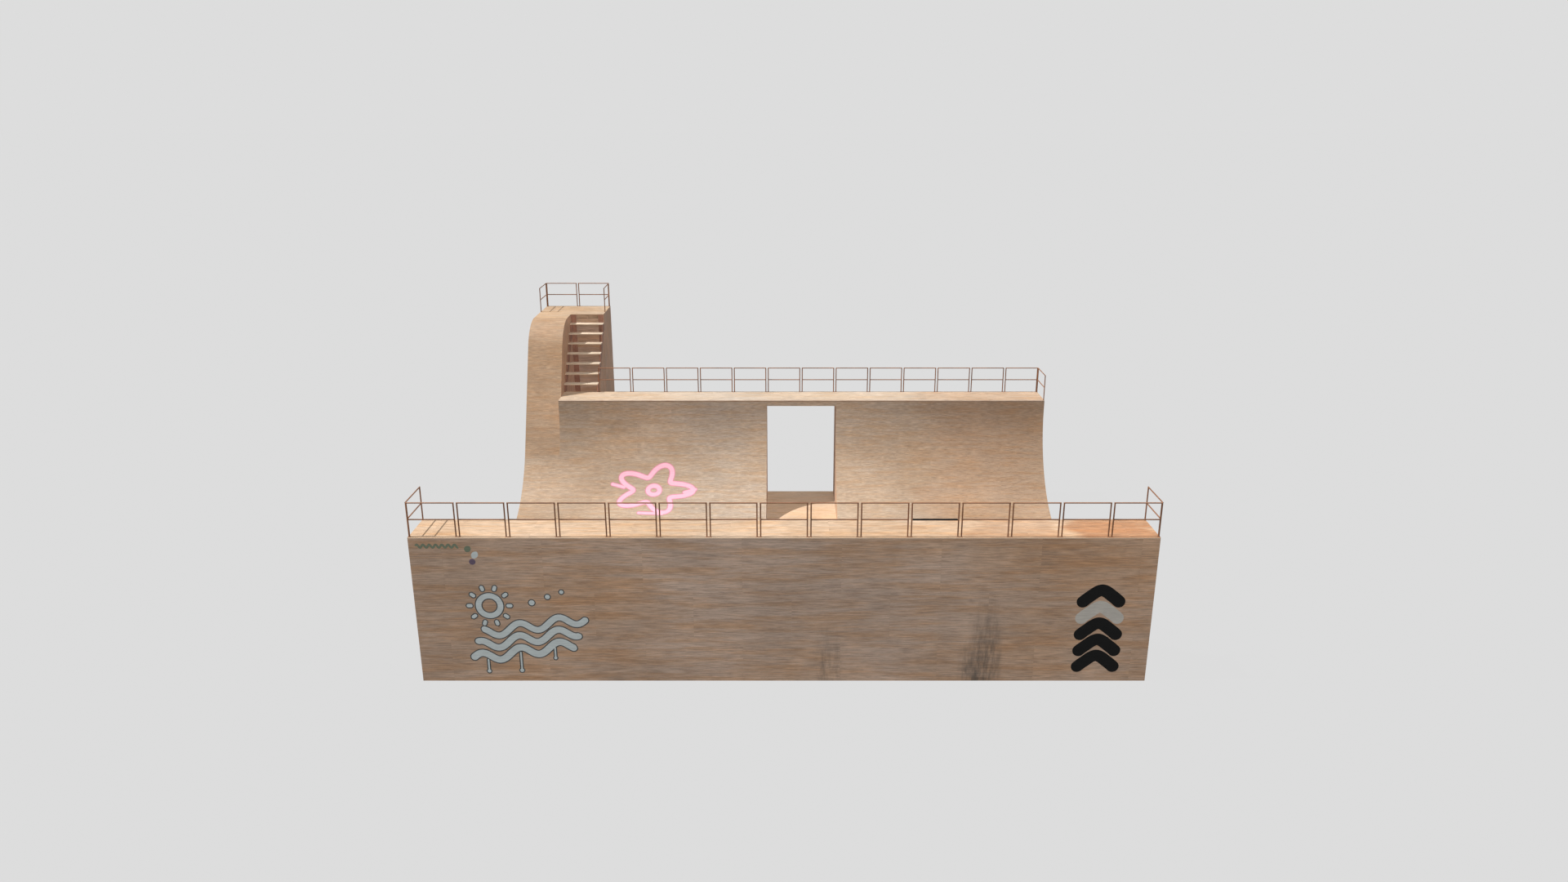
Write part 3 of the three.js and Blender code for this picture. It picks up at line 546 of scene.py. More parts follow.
def add_flat_sheets(pile, origin, up, inward, length, rise, thickness, offset=0.0, courses=None):
    """Adds sheets over a flat rectangle, in courses that run along X and follow each other along up.

    Joints are staggered from course to course, and the screws are kept.
    """
    size = sizes()
    origin, along, up, inward = (np.asarray(values, float) for values in (origin, (1, 0, 0), up, inward))
    base = float(origin @ up)
    for index, ends in enumerate(courses or split(0.0, rise, size.sheet_width, 0.0)):
        bottom, top = trimmed(ends, (0.0, rise), size.course_gap)
        stagger = offset + (size.sheet_length / 2 if index % 2 else 0.0)
        for x_ends in split(0.0, length, size.sheet_length, stagger):
            left, right = trimmed(x_ends, (0.0, length), size.butt_gap)
            start = np.stack([origin + left * along + height * up for height in (bottom, top)])
            across, depth = np.tile((right - left) * along, (2, 1)), np.tile(inward, (2, 1))
            place = [base + bottom, base + top]
            add_board(pile, start, across, depth, thickness, size.ease, place, chance.uniform())
        rows = max(2, 1 + round((top - bottom) / SCREW_ROWS))
        lines = np.linspace(bottom + SCREW_INSET, top - SCREW_INSET, rows)
        x = np.arange(SCREW_START, length, size.screw_spacing)
        ScrewHeads.keep(origin + x[None, :, None] * along + lines[:, None, None] * up, -inward)


def lay_top(pile, x_ends, y_ends, top, thickness, offset=0.0, courses=None):
    """Lays sheets face up over a rectangle."""
    length, rise = x_ends[1] - x_ends[0], y_ends[1] - y_ends[0]
    origin = (x_ends[0], y_ends[0], top)
    add_flat_sheets(pile, origin, (0, 1, 0), (0, 0, -1), length, rise, thickness, offset, courses)


def clad_back(node, outward, finish, slot="wall_ply", offset=WALL_STAGGER, name=None):
    """Clads a wall that faces along Y, to the far side where outward is 1, with sheets in courses."""
    low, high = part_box(node)
    origin = (low.x, low.y if outward < 0 else high.y, low.z)
    length, rise, thickness = high.x - low.x, high.z - low.z, high.y - low.y
    pile = Pile()
    add_flat_sheets(pile, origin, (0, 0, 1), (0, -outward, 0), length, rise, thickness, offset)
    pile.build(name or node + "_sheets", slot, (finish, "plywood_edge"), (node,))


def clad_end(node, outward, joints, top, steps=(), name=None):
    """Clads a wall that faces along X with sheets that reach from joint to joint, and up to top(y).

    Each step is a place in Y where the top edge steps down, and gets a point on each side of it.
    """
    size = sizes()
    low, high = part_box(node)
    face = low.x if outward < 0 else high.x
    pile = Pile()
    for ends in zip(joints[:-1], joints[1:]):
        first, last = trimmed(ends, (joints[0], joints[-1]), size.course_gap)
        y = np.linspace(first, last, max(2, 1 + math.ceil((last - first) / ROW_STEP)))
        inside = [step + aside for step in steps for aside in (-STEP_HALF, STEP_HALF) if first < step < last]
        y = np.sort(np.concatenate([y, inside]))
        zero = np.zeros_like(y)
        start, across = np.stack([zero + face, y, zero], axis=1), np.stack([zero, zero, top(y)], axis=1)
        inward = np.tile([-outward, 0.0, 0.0], (len(y), 1))
        add_board(pile, start, across, inward, high.x - low.x, size.ease, y, chance.uniform())
    pile.build(name or node + "_sheets", "wall_ply", ("wall_plywood", "plywood_edge"), (node,))


def eased_copy(node, name, slot, width, finish, inner_finish=None, inner_span=(0.0, 0.0)):
    """A copy of a CAD node with its points merged and its sharp edges bevelled, which stands for the node.

    Faces whose centres lie within the inner span of X take the inner finish.
    """
    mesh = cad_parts[node].data.copy()
    mesh.name = name
    piece = bpy.data.objects.new(name, mesh)
    bpy.context.scene.collection.objects.link(piece)
    edited = bmesh.new()
    edited.from_mesh(mesh)
    bmesh.ops.remove_doubles(edited, verts=edited.verts, dist=MERGE_REACH)
    bmesh.ops.dissolve_limit(edited, angle_limit=FLAT_ANGLE, verts=edited.verts, edges=edited.edges)
    edited.to_mesh(mesh)
    edited.free()
    mesh.materials.clear()
    mesh.materials.append(material(finish))
    if inner_finish:
        mesh.materials.append(material(inner_finish))
        centres = np.empty(3 * len(mesh.polygons))
        mesh.polygons.foreach_get("center", centres)
        inside = (centres[::3] > inner_span[0]) & (centres[::3] < inner_span[1])
        mesh.polygons.foreach_set("material_index", inside.astype(np.int32))
    bevel = piece.modifiers.new("eased", "BEVEL")
    bevel.width = width
    bevel.segments = 1
    bevel.limit_method = "ANGLE"
    bevel.angle_limit = SHARP_ANGLE
    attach(piece, "root")
    dress(piece, slot, node)


# Materials

# Each layer of the plywood's pattern: its stretch along the axes, its detail, its roughness and its shift
PLY_LAYERS = {
    "clouds": ((0.34, 0.5, 0.6), 4.0, 0.6, 0.0),
    "blush": ((0.27, 0.5, 0.45), 4.0, 0.55, 23.0),
    "sway": ((0.5, 0.9, 0.9), 3.0, 0.5, 51.0),
    "streaks": ((0.33, 4.4, 0.0), 6.0, 0.66, 0.0),
    "patches": ((0.42, 2.2, 0.0), 6.0, 0.64, 17.0),
    "figure": ((0.2, 1.2, 0.0), 2.0, 0.4, 41.0),
    "fine": ((2.0, 34.0, 0.0), 4.0, 0.7, 5.0),
    "checks": ((2.2, 60.0, 0.0), 2.0, 0.6, 31.0),
    "pores": ((13.0, 460.0, 0.0), 2.0, 0.6, 9.0),
}
SMEAR_STRETCH = (8.0, 1.0, 1.7)
# Turns of tone over the whole span of the figure's noise, and how far the streaks bend them
FIGURE_TURNS, FIGURE_BEND = 20.0, 0.04
# How far grey and orange streaks part from the tone in red, green and blue
GREY_PARTING, ORANGE_PARTING = (0.02, 0.07, 0.15), (-0.02, -0.11, -0.21)
# What red, green and blue are multiplied by where the wood is flushed, weathered and tinted by painted cool
# shade light, bleached or warm
BLUSH_TINT, SHADE_AND_WEATHER_TINT, BLEACH_TINT = (1.0, 0.93, 0.84), (1.10, 1.20, 1.34), (1.03, 1.10, 1.20)
WARM_TINT = (0.73, 0.545, 0.41)
SOOT = (0.075, 0.07, 0.062)
# The height from which a curve weathers and takes its painted cool shade tint
SHADE_AND_WEATHER_FOOT = 1.6
# Where the paler middle ends, and where it is in full, from the ramp's middle
PALE_REACH = (6.8, 2.0)
# The most that an edge of a warm stretch wanders, from one side to the other
WANDER = 4.0
# How far apart the fine grain of two sheets may lie
SHEET_SHIFT = 40.0
# Smears of soot on the near wall: place across, half width, height and strength
WALL_STAINS = ((5.05, 0.5, 3.0, 0.8), (4.75, 0.45, 1.5, 0.7), (5.25, 0.3, 2.2, 0.5), (1.1, 0.45, 2.1, 0.55))
# The plies of a sheet's edge: their thickness, and where the dark ones turn into the light ones
PLY_THICKNESS, PLY_LINE = 0.0015, (0.0005, 0.0010)
BARE_STEEL = (0.16, 0.12, 0.10)
# Depth of each finish's relief
GRAIN_RELIEF, EDGE_RELIEF, TIMBER_RELIEF = 0.0003, 0.0006, 0.0008
PAINT_RELIEF, STEEL_RELIEF, SPRAY_RELIEF, FOAM_RELIEF = 0.0005, 0.0002, 0.0004, 0.0006


class Recipe:
    """Builds a material's node tree, one node at a time."""

    def __init__(self, name):
        self.material = bpy.data.materials.new(name)
        self.material.use_nodes = True
        self.tree = self.material.node_tree
        self.shader = self.tree.nodes["Principled BSDF"]

    def node(self, kind, inputs=None, **settings):
        """Adds a node with its settings, and sets or links its inputs."""
        made = self.tree.nodes.new("ShaderNode" + kind)
        for key, value in settings.items():
            setattr(made, key, value)
        for key, value in (inputs or {}).items():
            self.put(made.inputs[key], value)
        return made

    def put(self, socket, value):
        """Links a socket to another node's output, or sets it to a value."""
        if isinstance(value, bpy.types.NodeSocket):
            self.tree.links.new(value, socket)
        else:
            socket.default_value = value

    def place(self):
        """The place on the piece, which is its place in the ramp's frame."""
        return self.node("TexCoord").outputs["Object"]

    def attribute(self, name, output):
        """What the mesh holds under a name, for each point."""
        return self.node("Attribute", attribute_name=name).outputs[output]

    def maths(self, operation, *values, clamp=False):
        """The result of one operation on one or two values."""
        return self.node("Math", dict(enumerate(values)), operation=operation, use_clamp=clamp).outputs[0]

    def vector_maths(self, operation, vector, value):
        """The result of one operation on a vector and a value or a vector."""
        return self.node("VectorMath", {0: vector, 1: value}, operation=operation).outputs[0]

    def ramp(self, value, low, high):
        """Eases value from 0 at low to 1 at high."""
        limits = {"Value": value, "From Min": low, "From Max": high}
        return self.node("MapRange", limits, interpolation_type="SMOOTHSTEP").outputs["Result"]

    def between(self, value, low, high):
        """Gives low where value is 0 and high where it is 1."""
        return self.node("MapRange", {"Value": value, "To Min": low, "To Max": high}).outputs["Result"]

    def noise(self, vector, stretch, detail=3.0, roughness=0.55, shift=0.0):
        """Noise on a vector whose axes are each multiplied by stretch and moved by shift."""
        mapped = self.node("Mapping", {"Vector": vector, "Scale": stretch, "Location": (shift,) * 3})
        inputs = {"Vector": mapped.outputs[0], "Scale": 1.0, "Detail": detail, "Roughness": roughness}
        return self.node("TexNoise", inputs).outputs["Fac"]

    def mix(self, share, one, two, blend="MIX"):
        """One colour where share is 0 and two where it is 1, or another blend of them."""
        made = self.node("Mix", data_type="RGBA", blend_type=blend)
        self.put(made.inputs[0], share)
        self.put(made.inputs[6], self.colour(one))
        self.put(made.inputs[7], self.colour(two))
        return made.outputs[2]

    @staticmethod
    def colour(value):
        """A colour for a socket: an output as it is, or three numbers with a full alpha."""
        return value if isinstance(value, bpy.types.NodeSocket) else (*value, 1.0)

    def tinted(self, colour, share, tint):
        """Multiplies a share of a colour by a tint."""
        return self.mix(share, colour, self.mix(1.0, colour, tint, "MULTIPLY"))

    def brighten(self, colour, value, low, high):
        """Multiplies a colour by low where value is 0 and by high where it is 1."""
        factor = self.between(value, low, high)
        grey = self.node("CombineXYZ", {0: factor, 1: factor, 2: factor}).outputs[0]
        return self.mix(1.0, colour, grey, "MULTIPLY")

    def bump(self, height, distance, strength):
        """Raises the surface by distance where height is 1."""
        made = self.node("Bump", {"Height": height, "Distance": distance, "Strength": strength})
        self.put(self.shader.inputs["Normal"], made.outputs[0])

    def finish(self, colour, roughness, metallic=0.0, specular=0.5):
        """Sets the shader's own sockets and gives the finished material."""
        self.put(self.shader.inputs["Base Color"], colour)
        self.put(self.shader.inputs["Roughness"], roughness)
        self.shader.inputs["Metallic"].default_value = metallic
        self.shader.inputs["Specular IOR Level"].default_value = specular
        return self.material


def scaled(colour, factors):
    """A colour multiplied by factors of red, green and blue, kept between 0 and 1."""
    return tuple(max(0.0, min(1.0, part * factor)) for part, factor in zip(colour, factors))


def parted(tone, spread, parting):
    """A tone moved by a parting in red, green and blue, as far as spread says."""
    return scaled(tone, [1 + spread * share for share in parting])


def plywood(
    name, tone, shade=(1.0, 1.0, 1.0), contrast=1.0, spread=1.0, fineness=1.0, warm=(), pale=0.0, greyed=0.0,
    stains=(), on_grain=True,
):
    """Plywood: clouds, grey and orange streaks, growth figure, fine grain, checks and pores along the grain.

    shade multiplies the tone. contrast deepens the grain, spread parts the streaks and fineness shrinks both.
    warm are redder stretches, each a place across, a half width and a strength. pale bleaches the ramp's
    middle, and greyed weathers a curve's upper part and gives it a painted cool shade tint. stains are smears
    of soot from the ground up. The grain lies on the mesh's own coordinate, or upright on a copied solid,
    where on_grain is off.
    """
    ply = Recipe(name)
    tone = scaled(tone, shade)
    place = ply.place()
    x, y, z = ply.node("SeparateXYZ", {0: place}).outputs[:3]
    if on_grain:
        grain = ply.attribute("grain", "Vector")
    else:
        grain = ply.node("CombineXYZ", {0: z, 1: ply.maths("ADD", x, y)}).outputs[0]
    grain = ply.vector_maths("MULTIPLY", grain, (fineness,) * 3)

    clouds = ply.ramp(ply.noise(place, *PLY_LAYERS["clouds"]), 0.32, 0.68)
    blush = ply.ramp(ply.noise(place, *PLY_LAYERS["blush"]), 0.42, 0.66)
    streaks, patches = (ply.noise(grain, *PLY_LAYERS[layer]) for layer in ("streaks", "patches"))
    if on_grain:
        sheet = ply.attribute("tone", "Fac")
        grain = ply.vector_maths("ADD", grain, ply.maths("MULTIPLY", sheet, SHEET_SHIFT))
    fine = ply.ramp(ply.noise(grain, *PLY_LAYERS["fine"]), 0.34, 0.66)
    checks = ply.ramp(ply.noise(grain, *PLY_LAYERS["checks"]), 0.56, 0.70)
    pores = ply.ramp(ply.noise(grain, *PLY_LAYERS["pores"]), 0.4, 0.6)
    bend = ply.maths("MULTIPLY", streaks, FIGURE_BEND)
    figure = ply.maths("ADD", ply.noise(grain, *PLY_LAYERS["figure"]), bend)
    figure = ply.maths("PINGPONG", ply.maths("MULTIPLY", figure, FIGURE_TURNS), 1.0)

    grey, orange = parted(tone, spread, GREY_PARTING), parted(tone, spread, ORANGE_PARTING)
    colour = ply.mix(ply.ramp(streaks, 0.40, 0.62), grey, orange)
    colour = ply.mix(ply.maths("MULTIPLY", ply.ramp(patches, 0.46, 0.62), 0.6), colour, grey)
    colour = ply.brighten(colour, clouds, 0.90, 1.09)
    colour = ply.tinted(colour, ply.maths("MULTIPLY", blush, spread), BLUSH_TINT)
    colour = ply.brighten(colour, figure, 1.0 + 0.06 * contrast, 1.0 - 0.07 * contrast)
    colour = ply.brighten(colour, fine, 1.0 - 0.22 * contrast, 1.0 + 0.18 * contrast)
    checked = ply.maths("MULTIPLY", checks, ply.ramp(patches, 0.36, 0.56))
    colour = ply.brighten(colour, checked, 1.0, 1.0 - 0.34 * contrast)
    colour = ply.brighten(colour, pores, 0.95, 1.05)

    # Weathering and painted cool shade light: a curve turns greyer and paler from its foot height up to the
    # deck
    if greyed:
        share = ply.maths("MULTIPLY", ply.ramp(z, SHADE_AND_WEATHER_FOOT, DECK_TOP), greyed)
        colour = ply.tinted(colour, share, SHADE_AND_WEATHER_TINT)
    if on_grain:
        colour = ply.brighten(colour, sheet, 0.98, 1.02)
    if pale:
        share = ply.maths("MULTIPLY", ply.ramp(ply.maths("ABSOLUTE", x), *PALE_REACH), pale)
        colour = ply.tinted(colour, share, BLEACH_TINT)
    if warm:
        sway = ply.maths("SUBTRACT", ply.noise(place, *PLY_LAYERS["sway"]), 0.5)
        wandering = ply.maths("ADD", x, ply.maths("MULTIPLY", sway, WANDER))
    for centre, half, strength in warm:
        aside = ply.maths("ABSOLUTE", ply.maths("SUBTRACT", wandering, centre))
        share = ply.maths("MULTIPLY", ply.ramp(aside, half, 0.5 * half), strength)
        colour = ply.tinted(colour, share, WARM_TINT)
    for centre, half, height, strength in stains:
        aside = ply.maths("ABSOLUTE", ply.maths("SUBTRACT", x, centre))
        smear = ply.noise(place, SMEAR_STRETCH, 6.0, 0.72, centre)
        amount = ply.maths("MULTIPLY", ply.ramp(aside, half, 0.25 * half), ply.ramp(z, height, 0.1 * height))
        amount = ply.maths("MULTIPLY", amount, ply.ramp(smear, 0.30, 0.74))
        colour = ply.mix(ply.maths("MULTIPLY", amount, strength, clamp=True), colour, SOOT)

    relief = ply.maths("SUBTRACT", ply.maths("ADD", fine, ply.maths("MULTIPLY", pores, 0.5)), checks)
    ply.bump(relief, GRAIN_RELIEF, 0.6)
    return ply.finish(colour, ply.between(patches, 0.50, 0.68), specular=0.35)


def plywood_edge(name, tone):
    """The layered edge of a sheet: thin plies in two tones, stacked through the thickness."""
    edge = Recipe(name)
    grain = edge.attribute("grain", "Vector")
    layer = edge.maths("PINGPONG", edge.node("SeparateXYZ", {0: grain}).outputs[2], PLY_THICKNESS)
    dark, light = scaled(tone, (0.62, 0.55, 0.46)), scaled(tone, (1.02, 1.0, 0.95))
    colour = edge.mix(edge.ramp(layer, *PLY_LINE), dark, light)
    colour = edge.brighten(colour, edge.noise(grain, (7.0, 7.0, 300.0)), 0.82, 1.12)
    edge.bump(layer, EDGE_RELIEF, 0.5)
    return edge.finish(colour, 0.75, specular=0.25)


def timber(name, tone, stretch):
    """Sawn or planed wood, its grain drawn out along the axis with the smallest stretch."""
    wood = Recipe(name)
    place = wood.place()
    rings = wood.noise(place, stretch, 5.0, 0.6)
    fine = wood.noise(place, tuple(6 * part for part in stretch), 3.0, 0.6, 3.0)
    light, dark = scaled(tone, (1.08, 1.06, 1.02)), scaled(tone, (0.80, 0.70, 0.60))
    colour = wood.mix(wood.ramp(rings, 0.35, 0.65), light, dark)
    colour = wood.brighten(colour, fine, 0.88, 1.12)
    wood.bump(fine, TIMBER_RELIEF, 0.6)
    return wood.finish(colour, 0.72, specular=0.3)


def paint(name, tone, on_wood=True):
    """Weathered paint: faded clouds, brush marks or dust, and chips down to the wood or steel under it."""
    coat = Recipe(name)
    place = coat.place()
    fade = coat.noise(place, (1.7, 1.7, 1.7), 3.0)
    fine = coat.noise(place, (42.0, 42.0, 9.0) if on_wood else (60.0, 60.0, 60.0), 4.0, 0.6)
    chips = coat.ramp(coat.noise(place, (21.0, 21.0, 13.0), 5.0, 0.7, 4.0), 0.60, 0.68)
    colour = coat.brighten(tone, coat.ramp(fade, 0.3, 0.7), 0.78, 1.20)
    colour = coat.brighten(colour, coat.ramp(fine, 0.3, 0.7), 0.82, 1.16)
    under = scaled(tone, (1.3, 1.9, 2.1)) if on_wood else BARE_STEEL
    colour = coat.mix(coat.maths("MULTIPLY", chips, 0.75), colour, under)
    coat.bump(coat.maths("SUBTRACT", fine, chips), PAINT_RELIEF, 0.5)
    return coat.finish(colour, coat.between(fine, 0.42, 0.62), specular=0.45)


def steel(name, tone, roughness=0.38):
    """Bare steel, ground along its length and browned here and there."""
    metal = Recipe(name)
    place = metal.place()
    rust = metal.noise(place, (2.6, 9.0, 9.0), 5.0, 0.65)
    scratch = metal.noise(place, (1.5, 260.0, 260.0))
    share = metal.maths("MULTIPLY", metal.ramp(rust, 0.45, 0.70), 0.6)
    colour = metal.mix(share, tone, scaled(tone, (0.70, 0.55, 0.45)))
    colour = metal.brighten(colour, scratch, 0.84, 1.16)
    metal.bump(scratch, STEEL_RELIEF, 0.5)
    return metal.finish(colour, metal.between(rust, roughness - 0.1, roughness + 0.3), metallic=0.35)


def spray(name, tone, cover=0.08):
    """Matt spray paint, cloudy by cover, that lets a little of the wood's grain through."""
    coat = Recipe(name)
    place = coat.place()
    cloud = coat.noise(place, (6.0, 6.0, 6.0), 4.0, 0.65)
    line = coat.noise(place, (3.0, 70.0, 70.0), 3.0, 0.6)
    colour = coat.brighten(tone, cloud, 1.0 - cover, 1.0 + cover)
    colour = coat.brighten(colour, coat.ramp(line, 0.35, 0.65), 0.92, 1.07)
    coat.bump(line, SPRAY_RELIEF, 0.5)
    return coat.finish(colour, 0.7, specular=0.12)


def foam(name, tone):
    """Dusty foam with small open cells."""
    cells = Recipe(name)
    place = cells.place()
    colour = cells.brighten(tone, cells.noise(place, (5.0, 5.0, 5.0)), 0.8, 1.3)
    cells.bump(cells.noise(place, (180.0, 180.0, 180.0), 3.0, 0.6), FOAM_RELIEF, 0.6)
    return cells.finish(colour, 0.8, specular=0.3)


# Each finish: what makes it, its colour or the name of its colour among the finishes, and its settings
FINISHES = {
    # The riding sheets take a painted cool shade tint up the curve, together with weathering
    "riding_plywood": (plywood, "riding_ply", {
        "shade": (1.0, 1.01, 1.02), "contrast": 1.15, "spread": 0.8, "fineness": 2.2,
        "warm": ((8.0, 3.6, 0.34),), "pale": 1.0, "greyed": 0.9,
    }),
    "lane_plywood": (plywood, "riding_ply", {
        "shade": (1.01, 0.97, 0.93), "contrast": 1.1, "spread": 0.7, "fineness": 2.0,
    }),
    "wall_plywood": (plywood, "wall_ply", {}),
    "whole_wall_plywood": (plywood, "wall_ply", {
        "shade": (1.10, 1.0, 0.93), "spread": 0.8, "on_grain": False,
    }),
    "near_wall_plywood": (plywood, "wall_ply", {
        "shade": (1.0, 0.97, 0.94), "pale": 0.7, "stains": WALL_STAINS,
    }),
    "near_deck_plywood": (plywood, "deck_ply", {
        "shade": (1.03, 1.01, 1.0), "contrast": 1.25, "fineness": 1.3,
        "warm": ((5.45, 1.3, 0.42), (8.4, 1.8, 1.0)),
    }),
    "far_deck_plywood": (plywood, "deck_ply", {
        "shade": (0.965, 1.03, 1.11), "contrast": 1.3, "spread": 0.8, "fineness": 1.5,
        "warm": ((8.0, 3.6, 0.42),), "pale": 0.95,
    }),
    # The passage floor is paler than the decks: painted light, making up for the shade that it lies in
    "passage_floor_plywood": (plywood, "deck_ply", {
        "shade": (1.10, 1.12, 1.16), "contrast": 0.8, "spread": 0.7, "fineness": 1.5,
    }),
    "tower_deck_plywood": (plywood, "deck_ply", {
        "shade": (0.92, 0.93, 0.94), "contrast": 1.3, "spread": 0.8, "fineness": 1.5,
    }),
    "plywood_edge": (plywood_edge, "wall_ply", {}),
    # Painted light: the decks' front edges face away from the sun, and this paler edge paints in the look of
    # a sunlit strip
    "bleached_edge": (plywood_edge, (0.90, 0.74, 0.60), {}),
    "sawn_timber": (timber, "framing", {"stretch": (1.2, 14.0, 14.0)}),
    "tread_board": (timber, "tread", {"stretch": (1.5, 30.0, 30.0)}),
    "brown_paint": (paint, "brown_paint", {}),
    "rail_enamel": (paint, "rail_paint", {"on_wood": False}),
    "lip_steel": (steel, "steel", {}),
    "fixing_zinc": (steel, (0.32, 0.27, 0.21), {"roughness": 0.5}),
    "pink_spray": (spray, "pink_spray", {}),
    "grey_spray": (spray, "grey_spray", {}),
    "dark_spray": (spray, (0.10, 0.105, 0.105), {"cover": 0.2}),
    "rose_spray": (spray, (0.62, 0.25, 0.33), {}),
    "green_spray": (spray, (0.20, 0.235, 0.165), {}),
    "dusk_spray": (spray, (0.16, 0.12, 0.17), {}),
    "bone_spray": (spray, (0.55, 0.52, 0.47), {}),
    "black_spray": (spray, (0.012, 0.012, 0.012), {"cover": 0.25}),
    "black_foam": (foam, (0.014, 0.011, 0.009), {}),
}
RIDING_FINISHES = ("riding_plywood", "plywood_edge")


def material(name):
    """A finish by its name, made the first time that it is asked for."""
    found = bpy.data.materials.get(name)
    if found:
        return found
    maker, colour, settings = FINISHES[name]
    if isinstance(colour, str):
        colour = getattr(finishes(), colour)
    return maker(name, tuple(colour), **settings)


# Sheets of the curves, decks, walls and passage


class RAMP_OT_riding_sheets(bpy.types.Operator):
    """Lays the plywood sheets of the two curves and the flat"""

    bl_idname = "ramp.riding_sheets"
    bl_label = "Riding Sheets"

    def execute(self, context):
        pile = Pile()
        add_curve(pile, curve_section, near, (LEFT, RIGHT), CURVE_COURSES)
        nodes = ("near_skin_lower", "near_skin_upper")
        pile.build("near_riding_sheets", "riding_ply", RIDING_FINISHES, nodes)

        pile = Pile()
        courses = list(zip(FLAT_COURSES, (*FLAT_COURSES[1:], FAR_TOE - NEAR_TOE)))
        lay_top(pile, (LEFT, RIGHT), (NEAR_TOE, FAR_TOE), FLOOR_TOP, SHEET, FLAT_STAGGER, courses)
        pile.build("flat_riding_sheets", "riding_ply", RIDING_FINISHES, ("flat_surface",))

        pile = Pile()
        add_curve(pile, curve_section, far, (DOOR_RIGHT, RIGHT), CURVE_COURSES, FAR_RIGHT_STAGGER)
        nodes = ("far_right_skin_lower", "far_right_skin_upper")
        pile.build("far_right_riding_sheets", "riding_ply", RIDING_FINISHES, nodes)

        pile = Pile()
        foot, rest = CURVE_COURSES[:FOOT_JOINTS], CURVE_COURSES[FOOT_JOINTS - 1 :]
        add_curve(pile, curve_section, far, (LEFT, DOOR_LEFT), foot, FAR_LEFT_STAGGER)
        add_curve(pile, curve_section, far, (LANE_RIGHT, DOOR_LEFT), rest, OVER_LANE_STAGGER)
        nodes = ("far_left_skin_lower", "far_left_skin_upper")
        pile.build("far_left_riding_sheets", "riding_ply", RIDING_FINISHES, nodes)

        pile = Pile()
        add_curve(pile, lane_section, far, (LEFT, LANE_RIGHT - SEAT), LANE_COURSES)
        pile.build("roll_in_riding_sheets", "riding_ply", ("lane_plywood", "plywood_edge"), ("roll_in_skin",))
        return {"FINISHED"}


class RAMP_OT_decks(bpy.types.Operator):
    """Lays the plywood sheets of the near, far and tower decks"""

    bl_idname = "ramp.decks"
    bl_label = "Decks"

    def execute(self, context):
        for node in ("near_deck", "far_deck"):
            low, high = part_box(node)
            pile = Pile()
            lay_top(pile, (low.x, high.x), (low.y, high.y), high.z, high.z - low.z, DECK_STAGGER)
            # The decks' sheet edges take the paler edge, which is painted light
            pile.build(node + "_sheets", "deck_ply", (node + "_plywood", "bleached_edge"), (node,))
        low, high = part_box("tower_deck")
        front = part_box("tower_frame")[0].y - SEAT
        pile = Pile()
        for x_ends, back in (((LEFT, LANE_RIGHT), low.y), ((LANE_RIGHT, TOWER_RIGHT), front)):
            lay_top(pile, x_ends, (back, high.y), high.z, high.z - low.z)
        pile.build("tower_deck_sheets", "deck_ply", ("tower_deck_plywood", "plywood_edge"), ("tower_deck",))
        return {"FINISHED"}


def quarter_top(side):
    """The top edge of a quarter's end wall: under the deck, under the coping, then behind the curve."""
    start, way = side(0.0), side(1.0) - side(0.0)
    back = RADIUS + SHEET + SEAT

    def top(y):
        depth = (np.asarray(y) - start) * way
        reach = np.clip(TOE_DEPTH - depth, 0.0, back)
        curve = CURVE_RISE - np.sqrt(back**2 - reach**2)
        under = np.where(depth < LIP_DEPTH - COPING_STEP, DECK_FOOT, COPING_FOOT - SEAT)
        return np.where(depth < LIP_DEPTH - SHEET - SEAT, under, np.minimum(curve, COPING_FOOT - SEAT))

    return top


def lane_top(y):
    """The top edge of the roll-in's left side: behind the lane's sheets, then under the tower's deck."""
    depth, height, in_depth, in_height = lane_section(np.linspace(0.0, LANE_LENGTH, LANE_POINTS))
    back = SHEET + SEAT
    behind = np.interp(y, far(depth + back * in_depth), height + back * in_height)
    return np.where(y > CROWN_END, TOWER_DECK_FOOT, behind)


class RAMP_OT_walls(bpy.types.Operator):
    """Clads the backs and ends of the ramp and its tower with plywood sheets"""

    bl_idname = "ramp.walls"
    bl_label = "Walls"

    def execute(self, context):
        clad_back("near_back_wall", -1, "near_wall_plywood")
        for node in ("far_back_wall_left", "far_back_wall_right", "tower_rear_wall"):
            clad_back(node, 1, "wall_plywood")
        clad_back("tower_front_wall", -1, "wall_plywood")
        ends = (
            ("near_left_side", near, -1),
            ("near_right_side", near, 1),
            ("far_left_end", far, -1),
            ("far_right_side", far, 1),
        )
        for node, side, outward in ends:
            low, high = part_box(node)
            lip = side(LIP_DEPTH - SHEET - SEAT)
            fixed = (low.y, high.y, lip)
            joints = sorted({*fixed, *np.arange(low.y + SHEET_WIDTH, high.y - SLIVER, SHEET_WIDTH)})
            joints = [y for y in joints if y in fixed or abs(y - lip) > SLIVER]
            clad_end(node, outward, joints, quarter_top(side), [side(LIP_DEPTH - COPING_STEP)])
        low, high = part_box("roll_in_left_side")
        joints = np.arange(low.y + SHEET_WIDTH, CROWN_END - SLIVER, SHEET_WIDTH)
        joints = [low.y, *joints, CROWN_END, CROWN_END + SHEET_WIDTH, high.y]
        clad_end("roll_in_left_side", -1, joints, lane_top, name="roll_in_left_sheets")
        eased_copy("roll_in_right_side", "roll_in_right_sheet", "wall_ply", PANEL_EASE, "whole_wall_plywood")
        return {"FINISHED"}


